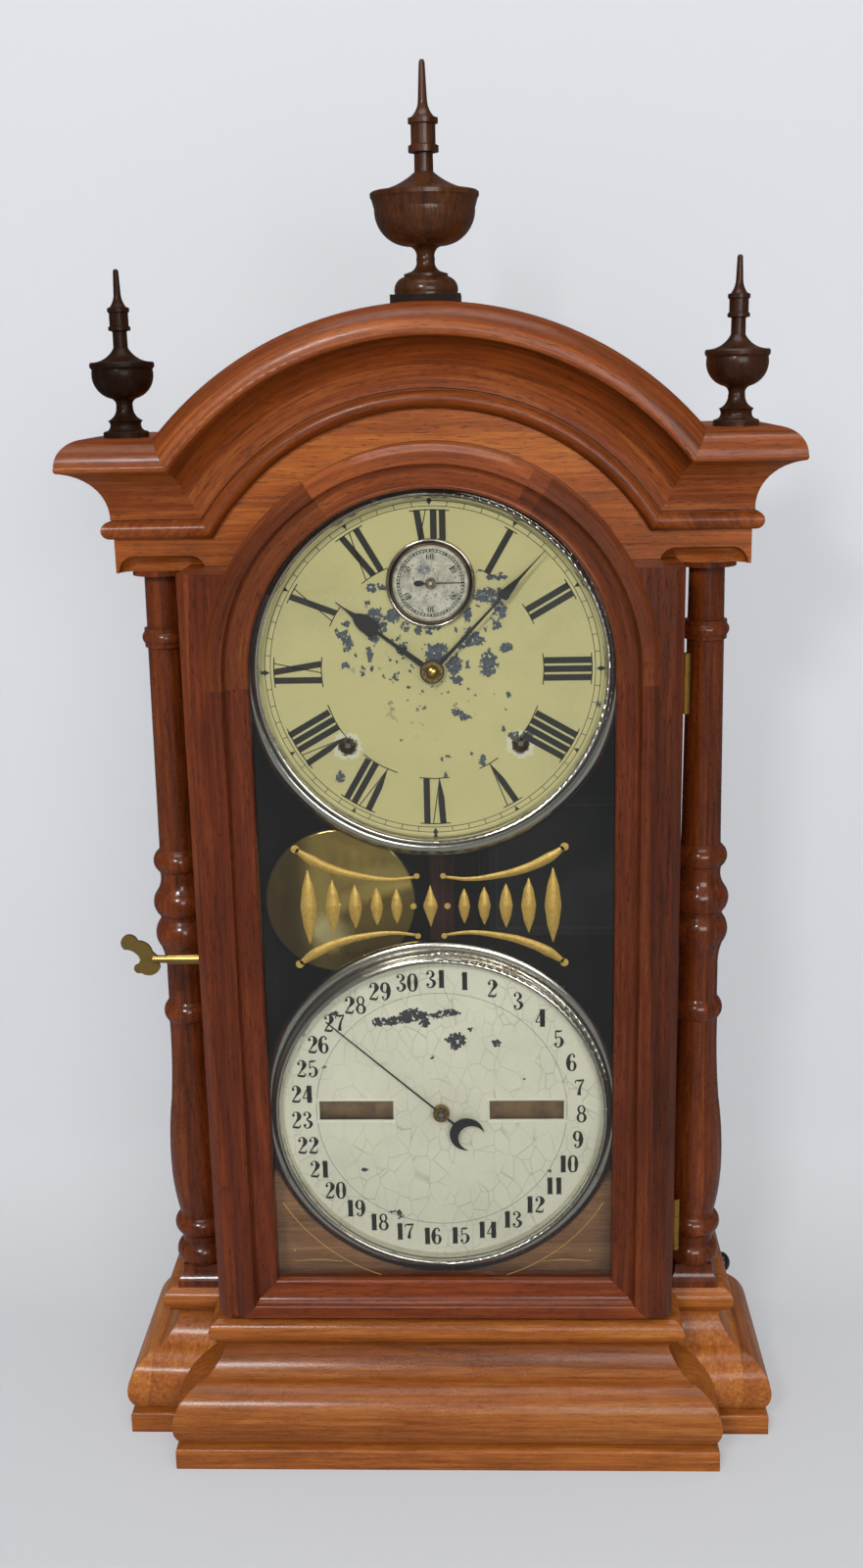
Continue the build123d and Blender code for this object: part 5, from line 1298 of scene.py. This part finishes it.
@dataclass
class Glazing:
    """The pane of the door with its gilt ornament.

    Lengths of the ornament are in millimetres from its centre, which lies between the two dials.
    """

    centre_x: float = -3.5
    centre_z: float = 356.0
    ball: float = 2.4
    arc_radius: float = 112.0
    arc_line: float = 0.3
    leaf_thickness: float = 0.04 * MM
    back_y: float = field(init=False)

    def build(self) -> None:
        """Dress the glass and lay the gilding on its back."""
        dress(Pane("door glass").make(), "door_glass")
        leaf = Gilt("gold leaf").make()
        _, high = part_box("door_glass")
        self.back_y = high.y
        self.make_scrolls(leaf)
        self.make_corner_lines(leaf)

    def scroll_strokes(self) -> list[list[PenPoint]]:
        """Strokes of the right half, each point as (x, z, half width): two long scrolls and spindles between."""
        strokes = []
        for up in (1, -1):
            strokes.append([(76.5, up * 34.5, 1.4), (68, up * 28.5, 3.0), (54, up * 22, 2.5), (38, up * 18, 1.8),
                            (22, up * 16.2, 1.2), (9, up * 17.5, 0.8)])
        for x, high, half in ((70.5, 22.5, 4.8), (56.5, 16.5, 4.3), (43.5, 13.2, 3.9), (31, 11.3, 3.6),
                              (19.5, 10.4, 3.3)):
            strokes.append([(x, high, 0.3), (x, high * 0.5, half * 0.72), (x, 0, half), (x, -high * 0.5, half * 0.72),
                            (x, -high, 0.3)])
        return strokes

    def balls(self) -> list[tuple[float, float, float]]:
        """Ball ends of the right half, as (x, z, radius)."""
        ball = self.ball
        return [(77, 35, ball), (77, -35, ball), (7.6, 18.2, ball * 0.7), (7.6, -18.2, ball * 0.7),
                (9.8, 0, ball * 0.75)]

    def make_scrolls(self, leaf: Material) -> None:
        """Gilt scrolls in mirrored halves about a lozenge."""
        bm = bmesh.new()
        middle = Vector((self.centre_x * MM, self.back_y, self.centre_z * MM))
        place = clockwise(0.0, middle) @ Matrix.Scale(MM, 4)
        strokes = []
        for side in (-1, 1):
            strokes += [([(side * x, z, half) for x, z, half in row], False) for row in self.scroll_strokes()]
            for x, z, radius in self.balls():
                spot(bm, side * x, z, radius, place)
        strokes.append(([(0, 12.5, 0.2), (0, 0, 4.2), (0, -12.5, 0.2)], False))
        pour(bm, pen_mesh(strokes), place)
        thicken(bm, self.leaf_thickness, self.back_y)
        piece(bm, "gilt_ornament", leaf, "door")

    def make_corner_lines(self, leaf: Material) -> None:
        """Thin gilt arcs round the lower dial, with a short bow and a dot in each lower corner."""
        bm = bmesh.new()
        dial = Dial("calendar_dial")
        middle = Vector((0.0, self.back_y, dial.centre.z))
        strokes = []
        for side in (-1, 1):
            arc = []
            for degrees in range(120, 161, 5):
                angle = math.radians(side * degrees)
                arc.append((self.arc_radius * math.sin(angle), self.arc_radius * math.cos(angle), self.arc_line))
            strokes.append((arc, False))
        place = clockwise(0.0, middle) @ Matrix.Scale(MM, 4)
        floor_z = 127.5 - dial.centre.z / MM
        for left in (-92.2, 59.8):
            bow = [(left, floor_z - 0.6, 0.15), (left + 15, floor_z + 0.5, 0.34), (left + 30, floor_z - 0.6, 0.15)]
            strokes.append((bow, False))
        for x in (-91.3, 89.0):
            spot(bm, x, floor_z + 7.0, 0.7, place)
        pour(bm, pen_mesh(strokes), place)
        thicken(bm, self.leaf_thickness, self.back_y)
        piece(bm, "gilt_corner_lines", leaf, "door")


@dataclass
class Metalwork:
    """Brass, steel and black pieces, inside and out."""

    def build(self) -> None:
        """Dress every metal node."""
        brass = Metal("aged brass", "C9A04E", "6E4E22", 0.45, 0.2).make()
        dress(brass, "centre_arbor", "escape_wheel", "movement_plates", "suspension_cock", "calendar_frame",
              "door_hinge_leaves", "case_fittings")
        for node, pin in (("winding_arbor_left", 2.6), ("winding_arbor_right", 2.6), ("date_wheel", 1.6)):
            low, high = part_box(node)
            axis = ((low.x + high.x) / 2, (low.z + high.z) / 2, pin * MM)
            dress(Metal(f"aged brass, {node}", "C9A04E", "6E4E22", 0.45, 0.2, axis=axis).make(), node)
        low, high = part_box("pendulum_bob")
        # Painted reflection on the lower part of the bob.
        patch = (low.x + (high.x - low.x) * 0.42, low.z + (high.z - low.z) * 0.28, 17 * MM)
        bob = Metal("bright bob brass", "DCC26C", "A08A46", 0.25, 0.15, 0.2, body=0.8, bright_patch=patch)
        dress(bob.make(), "pendulum_bob")
        dress(Metal("key brass", "B69858", "625030", 0.6, 0.28).make(), "door_key")
        steel = Metal("blued steel", "4A4C52", "2A2622", 0.4, 0.3).make()
        dress(steel, "latch_finger", "movement_pillars", "pendulum_rod", "strike_gong", "strike_hammer")
        dress(Japan("black knob", "0E0D0D", "2A2624", 0.3).make(), "side_knob")
        low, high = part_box("label_card")
        inset = 5 * MM
        border = ((low.x + high.x) / 2, (low.z + high.z) / 2, (high.x - low.x) / 2 - inset,
                  (high.z - low.z) / 2 - inset)
        dress(Paper("dark card", "1C1E1A", "121310", border=border).make(), "label_card")


@dataclass
class Studio:
    """Pale floor, soft lamps and the camera."""

    eye: Vector = field(default_factory=lambda: Vector((32.94, -915.32, 655.99)) * MM)
    turn: float = -0.03931
    dip: float = 0.25425
    roll: float = 0.02113
    lens: float = 36.745
    sensor: float = 36.0
    reach: float = 4.0
    wall_y: float = 0.19
    bend: float = 0.1

    def build(self) -> None:
        """Make the camera, the lamps, the floor and the world."""
        self.make_camera()
        self.make_floor()
        self.make_lamps()
        self.make_world()

    def make_camera(self) -> None:
        """Stand the camera where the photograph was taken from."""
        data = bpy.data.cameras.new("camera")
        data.lens = self.lens
        data.sensor_width = self.sensor
        data.clip_start = 0.05
        data.clip_end = 50.0
        camera = bpy.data.objects.new("camera", data)
        bpy.context.scene.collection.objects.link(camera)
        ahead = Vector((math.sin(self.turn) * math.cos(self.dip), math.cos(self.turn) * math.cos(self.dip),
                        -math.sin(self.dip)))
        right = Vector((math.cos(self.turn), -math.sin(self.turn), 0.0))
        down = ahead.cross(right)
        rolled_right = right * math.cos(self.roll) + down * math.sin(self.roll)
        rolled_down = down * math.cos(self.roll) - right * math.sin(self.roll)
        axes = Matrix((rolled_right, -rolled_down, -ahead)).transposed().to_4x4()
        camera.matrix_world = Matrix.Translation(self.eye) @ axes
        bpy.context.scene.camera = camera

    def pale(self, name: str, low_colour: str, colour: str, glow: float, mirrored_low: float,
             mirrored: float) -> Material:
        """Matt stage material with some light of its own, which only the camera and mirrors see.

        Args:
            name: The material's name.
            low_colour: The floor's colour as seen.
            colour: The wall's colour as seen.
            glow: How much of it is its own light for the camera.
            mirrored_low: Strength of the floor's own light in mirrors.
            mirrored: Strength of the wall's own light in mirrors.

        Returns:
            The material.
        """
        shader = Shader(name)
        path = shader.node("ShaderNodeLightPath")
        camera = Amount(shader, path.outputs["Is Camera Ray"])
        glossy = Amount(shader, path.outputs["Is Glossy Ray"])
        _, _, z = shader.axes(shader.place())
        height = z.rise(0.0, self.bend)
        shown = shader.mix(height, seen(low_colour), seen(colour))
        matt = shader.node("ShaderNodeBsdfDiffuse", None, {"Color": shown})
        level = height.rise(0.0, 1.0, mirrored_low, mirrored)
        reflected = shader.mix(level, seen("000000"), seen(colour))
        light = shader.node("ShaderNodeEmission", None, {"Color": shader.mix(camera, reflected, shown)})
        share = camera * glow + glossy
        front = shader.node("ShaderNodeMixShader", None, {0: share, 1: matt.outputs[0], 2: light.outputs[0]})
        behind = shader.node("ShaderNodeNewGeometry").outputs["Backfacing"]
        clear = shader.node("ShaderNodeBsdfTransparent")
        surface = shader.node("ShaderNodeMixShader", None, {0: behind, 1: front.outputs[0], 2: clear.outputs[0]})
        shader.tree.links.new(surface.outputs[0], shader.output.inputs["Surface"])
        return shader.material

    def make_floor(self) -> None:
        """Pale floor that turns up softly into a wall behind the clock, clear when seen from behind."""
        bm = bmesh.new()
        turn = 8
        rows = [(-self.reach, 0.0)]
        for step in range(turn + 1):
            angle = math.pi / 2 * step / turn
            rows.append((self.wall_y - self.bend + self.bend * math.sin(angle), self.bend * (1 - math.cos(angle))))
        rows.append((self.wall_y, self.reach))
        pairs = [[bm.verts.new((x, y, z)) for x in (-self.reach, self.reach)] for y, z in rows]
        for low, high in zip(pairs, pairs[1:]):
            bm.faces.new((low[0], low[1], high[1], high[0]))
        back = self.wall_y - self.bend
        behind = [(x, y, 0.0) for x, y in ((-self.reach, back), (self.reach, back),
                                          (self.reach, self.reach), (-self.reach, self.reach))]
        bm.faces.new([bm.verts.new(corner) for corner in behind])
        mesh = bpy.data.meshes.new("stage")
        bm.to_mesh(mesh)
        bm.free()
        mesh.shade_smooth()
        mesh.materials.append(self.pale("pale stage", "CACBCE", "D6D8DC", 0.5, 0.38, 0.14))
        stage = bpy.data.objects.new("stage", mesh)
        bpy.context.scene.collection.objects.link(stage)

    def lamp(self, name: str, place: Vector, aim: Vector, wide: float, high: float, power: float) -> None:
        """Add a soft rectangular lamp.

        Args:
            name: The lamp's name.
            place: Where it hangs.
            aim: What it points at.
            wide: Its width.
            high: Its height.
            power: Its power in watts.
        """
        data = bpy.data.lights.new(name, "AREA")
        data.shape = "RECTANGLE"
        data.size = wide
        data.size_y = high
        data.energy = power
        made = bpy.data.objects.new(name, data)
        made.matrix_world = Matrix.Translation(place) @ (aim - place).to_track_quat("-Z", "Y").to_matrix().to_4x4()
        bpy.context.scene.collection.objects.link(made)

    def make_lamps(self) -> None:
        """Two lamps in front, above the camera, and one overhead."""
        middle = Vector((0.0, 0.0, 0.42))
        self.lamp("key lamp", Vector((-0.5, -1.65, 1.42)), middle, 0.34, 0.26, 16.5)
        self.lamp("fill lamp", Vector((0.55, -1.9, 0.96)), Vector((0.0, 0.0, 0.25)), 1.0, 0.6, 14.5)
        self.lamp("top lamp", Vector((0.0, -0.35, 2.1)), middle, 1.3, 0.8, 12.5)

    def make_world(self) -> None:
        """Even grey surroundings, pale for the camera and dim in mirrors."""
        world = bpy.data.worlds.new("room")
        world.use_nodes = True
        tree = world.node_tree
        tree.nodes.clear()
        path = tree.nodes.new("ShaderNodeLightPath")
        out = tree.nodes.new("ShaderNodeOutputWorld")
        way = tree.nodes.new("ShaderNodeTexCoord")
        split = tree.nodes.new("ShaderNodeSeparateXYZ")
        tree.links.new(way.outputs["Generated"], split.inputs[0])
        ceiling = tree.nodes.new("ShaderNodeMapRange")
        tree.links.new(split.outputs["Z"], ceiling.inputs["Value"])
        for key, value in (("From Min", 0.0), ("From Max", 0.8), ("To Min", 0.12), ("To Max", 0.5)):
            ceiling.inputs[key].default_value = value
        plain, mirrored, shown = (
            self.background(tree, colour, strength)
            for colour, strength in (("DCDDE0", 0.42), ("DAD8D2", 1.0), ("DEE1E5", 1.0))
        )
        tree.links.new(ceiling.outputs[0], mirrored.inputs["Strength"])
        lit = self.chosen(tree, path.outputs["Is Glossy Ray"], plain, mirrored)
        whole = self.chosen(tree, path.outputs["Is Camera Ray"], lit, shown)
        tree.links.new(whole.outputs[0], out.inputs["Surface"])
        bpy.context.scene.world = world

    @staticmethod
    def background(tree: bpy.types.NodeTree, colour: str, strength: float) -> bpy.types.Node:
        """Plain light of one colour, as seen."""
        made = tree.nodes.new("ShaderNodeBackground")
        made.inputs["Color"].default_value = seen(colour)
        made.inputs["Strength"].default_value = strength
        return made

    @staticmethod
    def chosen(
        tree: bpy.types.NodeTree, ray: Socket, others: bpy.types.Node, own: bpy.types.Node
    ) -> bpy.types.Node:
        """Show one light to a kind of ray and another to all the rest."""
        made = tree.nodes.new("ShaderNodeMixShader")
        for number, socket in enumerate((ray, others.outputs[0], own.outputs[0])):
            tree.links.new(socket, made.inputs[number])
        return made


def main() -> None:
    """Build the studio and every part of the clock, in order."""
    logging.basicConfig(level=logging.INFO, format="%(name)s: %(message)s")
    bpy.context.scene.view_settings.view_transform = "Standard"
    Studio().build()
    digits = Digits()
    time_side = TimeSide(digits)
    Woodwork(ArchPlan(time_side.dial.centre.z)).build()
    time_side.build()
    CalendarSide(digits).build()
    Glazing().build()
    Metalwork().build()


if __name__ == "__main__":
    main()
